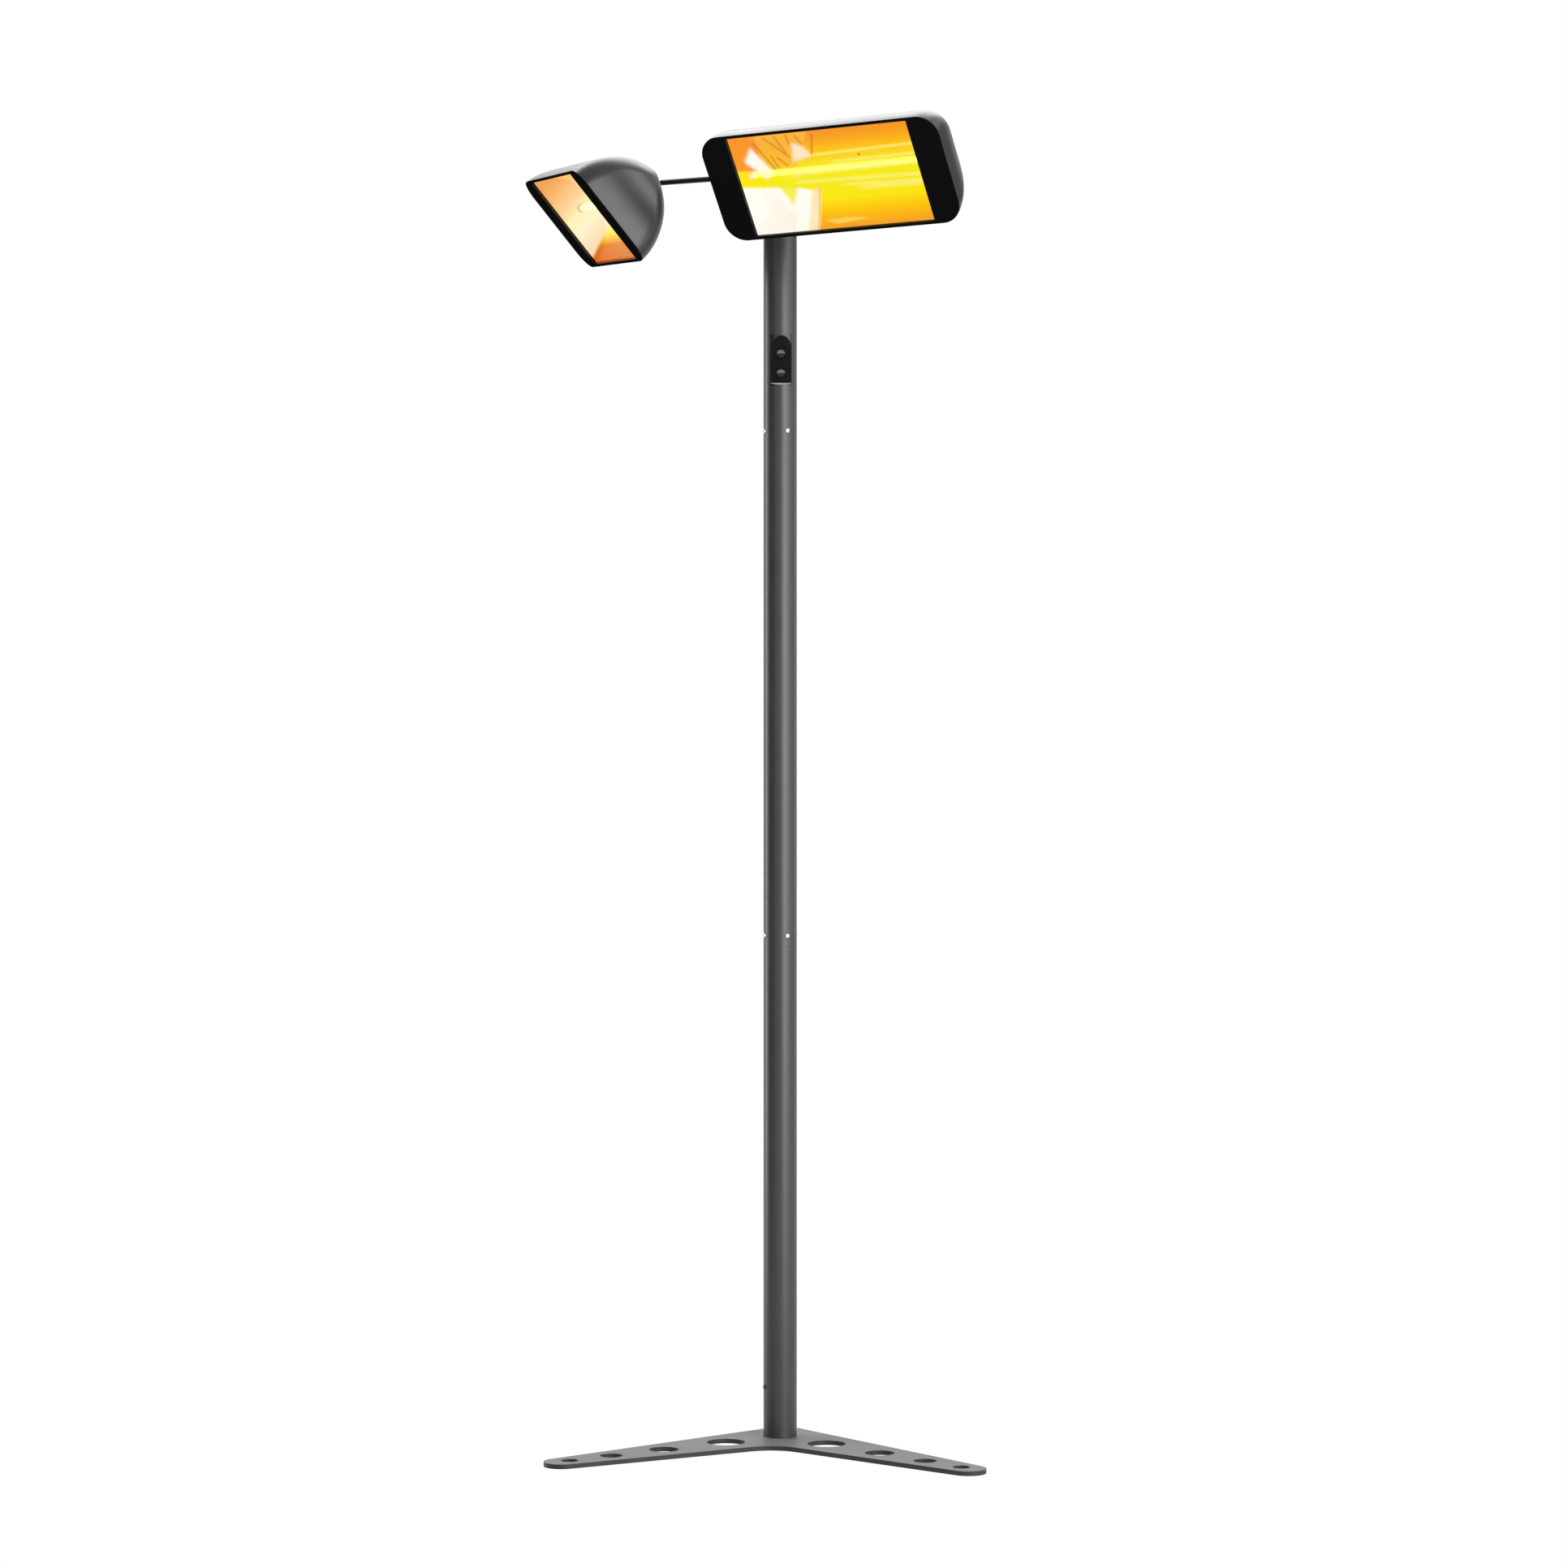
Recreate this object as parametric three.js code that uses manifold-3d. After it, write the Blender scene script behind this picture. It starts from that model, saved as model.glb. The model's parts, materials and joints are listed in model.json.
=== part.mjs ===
// An infrared patio heater tower. A flat V-shaped floor plate carries a round post in three
// lengths. A hub turns on top of the post and holds two arms. At the end of each arm hangs a
// heater head with a quartz lamp in a polished trough behind a glass front.
// Millimetres, +Z up. The origin is on the floor, on the post's axis, and the V opens to -Y.
// Each heater head is drawn in a frame of its own: x along the lamp, y from the front face
// backwards, z up the face.
import * as THREE from 'three';
import { mergeVertices } from 'three/addons/utils/BufferGeometryUtils.js';
import Module from 'manifold-3d';

const wasm = await Module();
wasm.setup();

const DEGREE = Math.PI / 180;
const FIT = 0.3; // clearance between pieces that seat in or on each other
const ROUND = 40; // facets of the post and the hub
const MEDIUM_ROUND = 20; // facets of bosses, switches and eyes
const SMALL_ROUND = 14; // facets of pins, bores and screws
const OVERCUT = 2; // how far a cutting shape runs past the face that it opens

// Floor plate
const PLATE_THICKNESS = 8;
const PLATE_ARM_ANGLE = 100; // between the centrelines of the two arms
const PLATE_ARM_REACH = 457; // post axis to the centre of an arm's round tip
const PLATE_ROOT_RADIUS = 77.4; // the arms widen to this radius around the post
const PLATE_TIP_RADIUS = 32;
const PLATE_BACK_ROUNDING = 30;
const PLATE_FRONT_ROUNDING = 70;
const FIRST_HOLE_REACH = 117; // post axis to the centre of the hole next to the post
const LAST_HOLE_INSET = 15; // centre of the last hole to the centre of the arm's round tip
const PLATE_HOLES = { // radii from the post outwards, and where each lies from first to last
  first: { share: 0, radius: 34 },
  second: { share: 0.403, radius: 26 },
  third: { share: 0.7385, radius: 20 },
  last: { share: 1, radius: 15 },
};

// Post
const POST_RADIUS = 30;
const POST_WALL = 2;
const LOWER_TUBE_LENGTH = 878;
const MIDDLE_TUBE_LENGTH = 903;
const UPPER_TUBE_LENGTH = 449;
const SLEEVE_WALL = 3;
const SLEEVE_REACH = 60; // how far a sleeve goes into each tube
const SOCKET_HEIGHT = 110; // the spigot on the floor plate that the post stands over
const POST_SCREW_RISE = 20; // screws above a seam between tubes
const POST_SCREW_TURN = 30; // first screw, from the front towards +X
const SCREWS_PER_SEAM = 4;
const FOOT_SCREW_HEIGHT = 98;
const FOOT_SCREW_TURN = -60;

// Screws and bolts
const SCREW = { shaftRadius: 2.5, headRadius: 4, crownRadius: 2.6, headHeight: 2.5, rimHeight: 1 }; // M5
const SCREW_BITE = 3.5; // shaft length beyond the inner face of the wall it holds
const BOLT = { shaftRadius: 3, headRadius: 5, headHeight: 4 }; // M6 bolt at the joints of the arms
const NUT = { cornerRadius: 5.6, height: 4.5 }; // M6
const BOLT_END = 1; // the bolts stand out of their nut or plate by this much
const SET_SCREW = { radius: 2.5, length: 8, socketRadius: 1.4, socketDepth: 3.2 };

// Cable inlet at the back of the post
const INLET_HEIGHT = 160;
const INLET = { neckRadius: 7, lipRadius: 10, bore: 4, lipThickness: 2.2, lipBevel: 2, innerLipRadius: 9 };

// Switch panel, let into the upper tube
const PANEL_TURN = 8.5; // from the front towards +X
const PANEL_ABOVE_SEAM = 101; // lower end of the panel above the seam under the upper tube
const PANEL_HEIGHT = 90;
const PANEL_HALF_WIDTH = 19.2;
const PANEL_FLAT_DEPTH = 7.2; // the flat lies this far inside the post's surface
const PANEL_PLATE = 3; // thickness behind the flat
const PANEL_BACK_DEPTH = 16; // the panel's rim reaches this far inside the post's surface
const PANEL_LOWER_SLOPE = 4.5; // height of the slope under the flat
const PANEL_UPPER_SLOPE = 16; // height of the slope above the flat
const PANEL_RIM = 3;
const PANEL_EDGE_LAND = 0.6; // the slopes end this far inside the panel's ends
const UPPER_SWITCH_DROP = 18; // upper switch's axis below the upper end of the flat
const LOWER_SWITCH_RISE = 16.5; // lower switch's axis above the lower end of the flat
const SWITCH_FLANGE = 1.4; // the flange stands this far out around the barrel
const SWITCH_FLANGE_THICKNESS = 1.6;
const SWITCH_WALL = 1.4; // wall of the barrel around the rocker's pocket
const SWITCH_DEPTH = 14; // barrel behind the flat
const ROCKER = { radius: 7.3, crown: 5.8, edge: 3.6, back: 3.4, backHalf: 4.4, pinRadius: 1.2 };
const ROCKER_PIVOT_DEPTH = 1.2; // behind the flat
const ROCKER_ROOM = 0.9; // pocket around the rocker
const ROCKER_POCKET_DEPTH = 9;
const ROCKER_REST_ANGLE = 8; // a pressed rocker leans this far to either side

// Hub and arms
const HUB_HEIGHT = 52;
const HUB_LIFT = 0.3; // running gap between the hub's shoulder and the post
const HUB_CORNER = 8; // rounding of the hub's top
const HUB_SPIGOT = 40; // length inside the upper tube
const HUB_BORE = 14; // wiring space
const HUB_TOP_WALL = 10;
const HUB_ARM_ANGLE = { left: 160.7, right: -48.5 }; // direction of each arm, from +X towards +Y
const HUB_GROOVE = { rise: 17, depth: 2, width: 8 }; // for the screw that holds the hub down
const ARM_RISE = 34; // arm axis above the post's top
const ARM_RADIUS = 5;
const ARM_BORE = 3;
const ARM_REACH = 251; // post axis to the swivel bolt
const ARM_ROOT = 15; // post axis to the inner end of the arm
const ARM_BOSS = { radius: 11, reach: 48 };
const ARM_TONGUE = { radius: 8, thickness: 6, neck: 13, neckHalf: 4.5, root: 4 };
const ARM_LEAD_EXIT = { radius: 2, fromTongue: 34 };
const ARM_SCREW_INSET = 8; // set screw's axis from the boss's outer end
const ARM_TWIST_ANGLE = { left: -7.6, right: 1.7 }; // how far each arm is turned in its boss

// Knuckle between arm and head
const KNUCKLE_CLEARANCE = 1; // lug to the arm's tongue
const KNUCKLE_PLATE = 3;
const KNUCKLE_LUG = { radius: 8, width: 14 };
const YOKE_EAR = 3;
const YOKE_FOOT = { length: 50, width: 20, thickness: 3 };
const YOKE_SCREW_SPACING = 34;
const YOKE_HEIGHT = -18; // middle of the yoke's foot, from the middle of the head's back

// Heater head
const HEAD_LENGTH = 450;
const HEAD_HEIGHT = 200;
const HEAD_DEPTH = 129.5;
const HEAD_CORNER = 37;
const HEAD_SECTION_POWER = 1.7; // exponent of the D-shaped section; 2 would be an ellipse
const HEAD_END_DOME = 80; // how much shorter the head is at its back, at each end
const HEAD_RINGS = 11; // rings from the front edge to the back
const HEAD_LAST_ANGLE = 87.5; // degrees around the D-shaped section; the back closes flat there
const HEAD_CORNER_FACETS = 6;
const SHELL_WALL = 2.5;
const BEZEL_THICKNESS = 3;
const WINDOW_LENGTH = 344;
const BEZEL_LIP = 2; // the bezel reaches this far inside the shell's wall, above and below the window
const GLASS_OVERLAP = 1.3; // glass behind the bezel's edge
const GLASS_THICKNESS = 4;
const GASKET_THICKNESS = 1;
const TILT_AXIS = { behind: 7, drop: 22 }; // behind the back, below the middle of the face
const HEAD_ANGLES = { // how each head hangs: from facing outwards, and forward down
  left: { swivel: 40.3, tilt: 35.8 },
  right: { swivel: -63.6, tilt: 34.7 },
};

// Reflector and lamp
const REFLECTOR_WALL = 1;
const REFLECTOR_FLANGE = 1.5;
const REFLECTOR_LIP = 3.5; // flange above and below the trough's mouth
const REFLECTOR_BENDS = { // lines of the trough: behind the flange, and inwards from the mouth's edge
  mouth: { depth: 0, inwards: 0 },
  upper: { depth: 30, inwards: 12 },
  middle: { depth: 56, inwards: 38 },
  lower: { depth: 68, inwards: 70 },
};
const REFLECTOR_RIDGE_DEPTH = 62; // ridge along the trough's floor, behind the flange
const LAMP_DEPTH = 50; // lamp axis behind the front face
const LAMP = { radius: 5.5, bore: 4.5 };
const LAMP_END_GAP = 7; // ends of the quartz tube to the trough's end plates
const LAMP_CAP = { radius: 7, length: 26, plugLength: 6 };
const FILAMENT_RADIUS = 1.5;
const TERMINALS = { length: 44, height: 20, depth: 22, offset: 62, holeRadius: 2.5 };
const GLAND = { offset: -88, threadRadius: 6, nutRadius: 10, domeRadius: 8, bore: 3, thread: 7 };
const GLAND_NUT = 6; // length of the gland's outer six-sided part
const GLAND_DOME = 9; // length of the dome beyond it
const GLAND_INNER_NUT = 4.2;

// Heights and radii that follow from the sizes above
const POST_BORE = POST_RADIUS - POST_WALL;
const INSERT_RADIUS = POST_BORE - FIT;
const LOWER_SEAM = PLATE_THICKNESS + LOWER_TUBE_LENGTH;
const UPPER_SEAM = LOWER_SEAM + MIDDLE_TUBE_LENGTH;
const POST_TOP = UPPER_SEAM + UPPER_TUBE_LENGTH;
const SCREW_HOLE = SCREW.shaftRadius + FIT;
const BOLT_HOLE = BOLT.shaftRadius + FIT;
const KNUCKLE_OFFSET = ARM_TONGUE.radius + KNUCKLE_CLEARANCE + KNUCKLE_LUG.radius; // swivel to tilt axis
const ARM_SCREW_REACH = ARM_BOSS.reach - ARM_SCREW_INSET;
const WINDOW_HEIGHT = HEAD_HEIGHT - 2 * (SHELL_WALL + BEZEL_LIP);
const MOUTH_HALF = WINDOW_HEIGHT / 2 - REFLECTOR_LIP;
const LAMP_LENGTH = WINDOW_LENGTH - 2 * LAMP_END_GAP;
const GASKET_FRONT = BEZEL_THICKNESS + FIT;
const GLASS_FRONT = GASKET_FRONT + GASKET_THICKNESS + FIT;
const REFLECTOR_FRONT = GLASS_FRONT + GLASS_THICKNESS + FIT;
const TILT_DEPTH = HEAD_DEPTH + TILT_AXIS.behind; // tilt axis behind the front face
const GLASS_LENGTH = WINDOW_LENGTH + 2 * GLASS_OVERLAP;
const GLASS_HEIGHT = WINDOW_HEIGHT + 2 * GLASS_OVERLAP;

function finish(colour, roughness, metalness, more = {}) {
  return new THREE.MeshStandardMaterial({ color: colour, roughness, metalness, ...more });
}

const FINISHES = {
  plate: () => finish(0x8f8f89, 0.5, 0.4),
  post: () => finish(0x62635e, 0.38, 0.6),
  shell: () => finish(0x55585a, 0.32, 0.5),
  black: () => finish(0x141414, 0.45, 0.1),
  blackSteel: () => finish(0x101010, 0.35, 0.5),
  rubber: () => finish(0x1c1c1c, 0.8, 0),
  steel: () => finish(0xb9b9b4, 0.3, 0.9),
  mirror: () => finish(0xd8b070, 0.12, 1),
  glass: () => finish(0xffb24a, 0.05, 0, { transparent: true, opacity: 0.35 }),
  quartz: () => finish(0xffe9a0, 0.05, 0, { transparent: true, opacity: 0.6 }),
  glow: () => finish(0xffc020, 0.6, 0, { emissive: 0xff9a10 }),
  ceramic: () => finish(0xece7dc, 0.6, 0),
};

// ---- solids -----------------------------------------------------------------------------

// A closed geometry becomes a solid that can be joined to and cut by others.
function solid(geometry) {
  const bare = geometry.clone();
  bare.deleteAttribute('normal');
  bare.deleteAttribute('uv');
  const merged = mergeVertices(bare, 1e-4);
  const mesh = new wasm.Mesh({
    numProp: 3,
    vertProperties: new Float32Array(merged.attributes.position.array),
    triVerts: new Uint32Array(merged.index.array),
  });
  mesh.merge();
  return new wasm.Manifold(mesh);
}

function geometryOf(body) {
  const mesh = body.getMesh();
  const geometry = new THREE.BufferGeometry();
  geometry.setAttribute('position', new THREE.BufferAttribute(new Float32Array(mesh.vertProperties), 3));
  geometry.setIndex(new THREE.BufferAttribute(new Uint32Array(mesh.triVerts), 1));
  geometry.computeVertexNormals();
  return geometry;
}

function joined(...geometries) {
  return geometryOf(geometries.map(solid).reduce((all, next) => all.add(next)));
}

function cut(geometry, ...cutters) {
  return geometryOf(cutters.map(solid).reduce((rest, cutter) => rest.subtract(cutter), solid(geometry)));
}

function common(geometry, other) {
  return geometryOf(solid(geometry).intersect(solid(other)));
}

function box(x0, x1, y0, y1, z0, z1) {
  const geometry = new THREE.BoxGeometry(x1 - x0, y1 - y0, z1 - z0);
  return geometry.translate((x0 + x1) / 2, (y0 + y1) / 2, (z0 + z1) / 2);
}

// A cylinder from one height to another on an axis: 'x', 'y' or 'z', through the origin.
function rod(radius, from, to, axis = 'z', sides = SMALL_ROUND) {
  const geometry = new THREE.CylinderGeometry(radius, radius, to - from, sides);
  geometry.translate(0, (from + to) / 2, 0);
  if (axis === 'z') geometry.rotateX(Math.PI / 2);
  if (axis === 'x') geometry.rotateZ(-Math.PI / 2);
  return geometry;
}

// A turned piece on the z axis; the profile lists [radius, height] from bottom to top.
function turned(profile, sides = SMALL_ROUND) {
  const points = profile.map(([radius, height]) => new THREE.Vector2(radius, height));
  return geometryOf(solid(new THREE.LatheGeometry(points, sides).rotateX(Math.PI / 2)));
}

// A round tube on the z axis.
function tube(outer, inner, from, to, sides) {
  return turned([[inner, from], [outer, from], [outer, to], [inner, to], [inner, from]], sides);
}

// A flat outline in x and z, given thickness from one depth to another along y.
function slab(shape, front, back, curveSegments = 6) {
  const geometry = new THREE.ExtrudeGeometry(shape, {
    depth: back - front, bevelEnabled: false, curveSegments,
  });
  return geometry.rotateX(Math.PI / 2).translate(0, back, 0);
}

// A section in depth (y) and height (z), run along x and centred there.
function beam(section, length) {
  const shape = new THREE.Shape(section.map(([depth, height]) => new THREE.Vector2(-height, depth)));
  const geometry = new THREE.ExtrudeGeometry(shape, { depth: length, bevelEnabled: false });
  return geometry.rotateY(Math.PI / 2).translate(-length / 2, 0, 0);
}

function roundedRectangle(width, height, corner) {
  const x = width / 2 - corner;
  const y = height / 2 - corner;
  const shape = new THREE.Shape();
  shape.absarc(x, y, corner, 0, Math.PI / 2);
  shape.absarc(-x, y, corner, Math.PI / 2, Math.PI);
  shape.absarc(-x, -y, corner, Math.PI, 1.5 * Math.PI);
  shape.absarc(x, -y, corner, 1.5 * Math.PI, 2 * Math.PI);
  return shape;
}

function rectangle(width, height) {
  const x = width / 2;
  const y = height / 2;
  return new THREE.Shape([[-x, -y], [x, -y], [x, y], [-x, y]].map((p) => new THREE.Vector2(...p)));
}

// ---- scene tree -------------------------------------------------------------------------

function place(parent, name, geometry, material) {
  const mesh = new THREE.Mesh(geometry, material);
  mesh.name = name;
  parent.add(mesh);
  return mesh;
}

function branch(parent, { at = [0, 0, 0], turnX = 0, turnY = 0, turnZ = 0 } = {}) {
  const group = new THREE.Group();
  group.position.set(...at);
  group.rotation.set(turnX * DEGREE, turnY * DEGREE, turnZ * DEGREE);
  parent.add(group);
  return group;
}

// ---- screws -----------------------------------------------------------------------------

// A pan-head screw on the z axis: its head sits on z = 0 and its shaft points down.
function panScrew(length) {
  const { shaftRadius, headRadius, crownRadius, headHeight, rimHeight } = SCREW;
  return turned([
    [0, -length], [shaftRadius, -length], [shaftRadius, 0], [headRadius, 0],
    [headRadius, rimHeight], [crownRadius, headHeight], [0, headHeight],
  ], 12);
}

// A set screw on the z axis, from z = 0 down, with a six-sided socket in its top.
function setScrew() {
  const socket = rod(SET_SCREW.socketRadius, -SET_SCREW.socketDepth, OVERCUT, 'z', 6);
  return cut(rod(SET_SCREW.radius, -SET_SCREW.length, 0, 'z', 12), socket);
}

function boltShape(length) {
  const { shaftRadius, headRadius, headHeight } = BOLT;
  return joined(rod(shaftRadius, -length, headHeight / 2), rod(headRadius, 0, headHeight, 'z', 6));
}

// ---- floor plate ------------------------------------------------------------------------

// The outline follows two tapering arms with round tips. Their outer edges meet behind the post
// and their inner edges in front of it, both with a rounded corner.
function plateOutline() {
  const lean = Math.acos((PLATE_ROOT_RADIUS - PLATE_TIP_RADIUS) / PLATE_ARM_REACH);
  const arm = (PLATE_ARM_ANGLE / 2 - 90) * DEGREE;
  const outer = arm + lean;
  const inner = arm - lean;
  const tipX = PLATE_ARM_REACH * Math.cos(arm);
  const tipY = PLATE_ARM_REACH * Math.sin(arm);
  const backY = (PLATE_ROOT_RADIUS - PLATE_BACK_ROUNDING) / Math.sin(outer);
  const frontY = (PLATE_ROOT_RADIUS + PLATE_FRONT_ROUNDING) / Math.sin(inner);
  const shape = new THREE.Shape();
  shape.absarc(tipX, tipY, PLATE_TIP_RADIUS, inner, outer);
  shape.absarc(0, backY, PLATE_BACK_ROUNDING, outer, Math.PI - outer);
  shape.absarc(-tipX, tipY, PLATE_TIP_RADIUS, Math.PI - outer, Math.PI - inner);
  shape.absarc(0, frontY, PLATE_FRONT_ROUNDING, -inner, Math.PI + inner, true);
  for (const side of [-1, 1]) {
    for (const { share, radius } of Object.values(PLATE_HOLES)) {
      const reach = FIRST_HOLE_REACH + share * (PLATE_ARM_REACH - LAST_HOLE_INSET - FIRST_HOLE_REACH);
      const hole = new THREE.Path();
      hole.absarc(side * reach * Math.cos(arm), reach * Math.sin(arm), radius, 0, 2 * Math.PI, true);
      shape.holes.push(hole);
    }
  }
  return shape;
}

function floorPlate() {
  return new THREE.ExtrudeGeometry(plateOutline(), {
    depth: PLATE_THICKNESS, bevelEnabled: false, curveSegments: 12,
  });
}

// ---- post -------------------------------------------------------------------------------

// The cutter or screw is turned from the front (-Y) towards +X and points out of the post.
function outwards(geometry, turn, height) {
  return geometry.rotateX(Math.PI / 2).rotateZ(turn * DEGREE).translate(0, 0, height);
}

function seamScrewTurns() {
  return Array.from({ length: SCREWS_PER_SEAM }, (_, i) => POST_SCREW_TURN + (360 / SCREWS_PER_SEAM) * i);
}

function screwHoles(turns, height) {
  return turns.map((turn) => outwards(
    rod(SCREW_HOLE, INSERT_RADIUS - SLEEVE_WALL - OVERCUT, POST_RADIUS + OVERCUT, 'z', 12), turn, height));
}

function postScrew(turn, height, length = POST_WALL + SCREW_BITE) {
  return outwards(panScrew(length).translate(0, 0, POST_RADIUS + FIT), turn, height);
}

function postTube(bottom, top, ...cutters) {
  return cut(tube(POST_RADIUS, POST_BORE, bottom, top, ROUND), ...cutters);
}

// A shorter tube inside the post, drilled and tapped for the screws that hold the post to it.
function insert(bottom, top, turns, screwHeight) {
  const plain = tube(INSERT_RADIUS, INSERT_RADIUS - SLEEVE_WALL, bottom, top, MEDIUM_ROUND);
  return cut(plain, ...screwHoles(turns, screwHeight));
}

function sleeve(seam) {
  return insert(seam - SLEEVE_REACH, seam + SLEEVE_REACH, seamScrewTurns(), seam + POST_SCREW_RISE);
}

function footSocket() {
  return insert(PLATE_THICKNESS, PLATE_THICKNESS + SOCKET_HEIGHT, [FOOT_SCREW_TURN], FOOT_SCREW_HEIGHT);
}

// The rubber bush sits in the tube's wall with a lip on each side of it.
function inletBush() {
  const { neckRadius, lipRadius, bore, lipThickness, lipBevel, innerLipRadius } = INLET;
  const inner = POST_BORE - POST_WALL - FIT;
  const outer = POST_RADIUS + FIT;
  return turned([
    [bore, inner - lipThickness], [innerLipRadius, inner - lipThickness], [innerLipRadius, inner],
    [neckRadius, inner], [neckRadius, outer], [lipRadius, outer],
    [lipRadius - lipBevel, outer + lipThickness],
    [bore, outer + lipThickness], [bore, inner - lipThickness],
  ], 24);
}

function inletHole() {
  return rod(INLET.neckRadius + FIT, POST_BORE - 2 * OVERCUT, POST_RADIUS + OVERCUT, 'z', 24);
}

function addPost(tower) {
  const lowerScrews = LOWER_SEAM + POST_SCREW_RISE;
  const upperScrews = UPPER_SEAM + POST_SCREW_RISE;
  place(tower, 'foot_socket', footSocket(), FINISHES.steel());
  place(tower, 'foot_screw', postScrew(FOOT_SCREW_TURN, FOOT_SCREW_HEIGHT), FINISHES.blackSteel());
  place(tower, 'lower_tube', postTube(PLATE_THICKNESS, LOWER_SEAM,
    ...screwHoles([FOOT_SCREW_TURN], FOOT_SCREW_HEIGHT), outwards(inletHole(), 180, INLET_HEIGHT)),
  FINISHES.post());
  place(tower, 'cable_inlet_bush', outwards(inletBush(), 180, INLET_HEIGHT), FINISHES.rubber());
  place(tower, 'lower_sleeve', sleeve(LOWER_SEAM), FINISHES.steel());
  place(tower, 'middle_tube', postTube(LOWER_SEAM, UPPER_SEAM,
    ...screwHoles(seamScrewTurns(), lowerScrews)), FINISHES.post());
  place(tower, 'upper_sleeve', sleeve(UPPER_SEAM), FINISHES.steel());
  place(tower, 'upper_tube', postTube(UPPER_SEAM, POST_TOP, ...screwHoles(seamScrewTurns(), upperScrews),
    panelOpening(), ...screwHoles([180], POST_TOP - HUB_GROOVE.rise)), FINISHES.post());
  for (const [seam, height] of [['lower', lowerScrews], ['upper', upperScrews]]) {
    seamScrewTurns().forEach((turn, i) => {
      place(tower, `${seam}_seam_screw_${i + 1}`, postScrew(turn, height), FINISHES.steel());
    });
  }
}

// ---- switch panel -----------------------------------------------------------------------

const PANEL_BOTTOM = UPPER_SEAM + PANEL_ABOVE_SEAM;
const PANEL_TOP = PANEL_BOTTOM + PANEL_HEIGHT;
const FLAT_BOTTOM = PANEL_BOTTOM + PANEL_LOWER_SLOPE;
const FLAT_TOP = PANEL_TOP - PANEL_UPPER_SLOPE;
const PANEL_FLAT = -(POST_RADIUS - PANEL_FLAT_DEPTH); // y of the flat in the panel's own turn
const PANEL_BACK = -(POST_RADIUS - PANEL_BACK_DEPTH);
const POCKET_RADIUS = ROCKER.radius + ROCKER_ROOM;
const BARREL_RADIUS = POCKET_RADIUS + SWITCH_WALL;
const FLANGE_RADIUS = BARREL_RADIUS + SWITCH_FLANGE;
const SWITCH_HEIGHTS = { upper: FLAT_TOP - UPPER_SWITCH_DROP, lower: FLAT_BOTTOM + LOWER_SWITCH_RISE };

// The slot in the tube, a little larger than the panel that fills it.
function panelOpening() {
  const half = PANEL_HALF_WIDTH + FIT;
  const slot = box(-half, half, -POST_RADIUS - OVERCUT, PANEL_BACK, PANEL_BOTTOM - FIT, PANEL_TOP + FIT);
  return slot.rotateZ(PANEL_TURN * DEGREE);
}

// A black moulding flush with the post. Its front is scooped out to a flat between two slopes,
// its back is hollow, and two round holes take the switches.
function switchPanel() {
  const outside = common(
    rod(POST_RADIUS, PANEL_BOTTOM, PANEL_TOP, 'z', ROUND * 2),
    box(-PANEL_HALF_WIDTH, PANEL_HALF_WIDTH, -POST_RADIUS - OVERCUT, PANEL_BACK, PANEL_BOTTOM, PANEL_TOP),
  );
  const front = -POST_RADIUS - OVERCUT;
  const run = (PANEL_FLAT - front) / PANEL_FLAT_DEPTH;
  const scoop = beam([
    [PANEL_FLAT, FLAT_BOTTOM], [PANEL_FLAT, FLAT_TOP],
    [front, FLAT_TOP + (PANEL_UPPER_SLOPE - PANEL_EDGE_LAND) * run],
    [front, FLAT_BOTTOM - (PANEL_LOWER_SLOPE - PANEL_EDGE_LAND) * run],
  ], 4 * PANEL_HALF_WIDTH);
  const hollowHalf = PANEL_HALF_WIDTH - PANEL_RIM;
  const hollow = box(-hollowHalf, hollowHalf, PANEL_FLAT + PANEL_PLATE, PANEL_BACK + OVERCUT,
    FLAT_BOTTOM + PANEL_RIM, FLAT_TOP - PANEL_RIM);
  const holes = Object.values(SWITCH_HEIGHTS).map((height) => rod(
    BARREL_RADIUS + FIT, PANEL_FLAT - OVERCUT, PANEL_FLAT + PANEL_PLATE + OVERCUT, 'y', MEDIUM_ROUND,
  ).translate(0, 0, height));
  return cut(outside, scoop, hollow, ...holes);
}

// A snap-in switch body: a flange on the flat, a barrel behind it, and an open pocket with two
// holes for the rocker's pins.
function switchBody() {
  const seat = PANEL_FLAT - FIT;
  const mouth = seat - SWITCH_FLANGE_THICKNESS;
  const body = joined(
    rod(FLANGE_RADIUS, mouth, seat, 'y', MEDIUM_ROUND),
    rod(BARREL_RADIUS, mouth + SWITCH_FLANGE_THICKNESS / 2, seat + SWITCH_DEPTH, 'y', MEDIUM_ROUND),
  );
  const pocket = rod(POCKET_RADIUS, mouth - OVERCUT, mouth + ROCKER_POCKET_DEPTH, 'y', MEDIUM_ROUND);
  const pins = rod(ROCKER.pinRadius + FIT, -FLANGE_RADIUS - OVERCUT, FLANGE_RADIUS + OVERCUT, 'x', 10);
  return cut(body, pocket, pins.translate(0, PANEL_FLAT + ROCKER_PIVOT_DEPTH, 0));
}

// The rocker is drawn level on its pivot: a round button whose face rises to a ridge across its
// middle, with a short pin at each side.
function rocker() {
  const { radius, crown, edge, back, backHalf, pinRadius } = ROCKER;
  const profile = beam([
    [-edge, -radius], [-crown, 0], [-edge, radius], [back, backHalf], [back, -backHalf],
  ], 2 * radius);
  const button = common(profile, rod(radius, -crown - OVERCUT, back + OVERCUT, 'y', MEDIUM_ROUND));
  return joined(button, rod(pinRadius, -BARREL_RADIUS, BARREL_RADIUS, 'x', 10));
}

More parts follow.
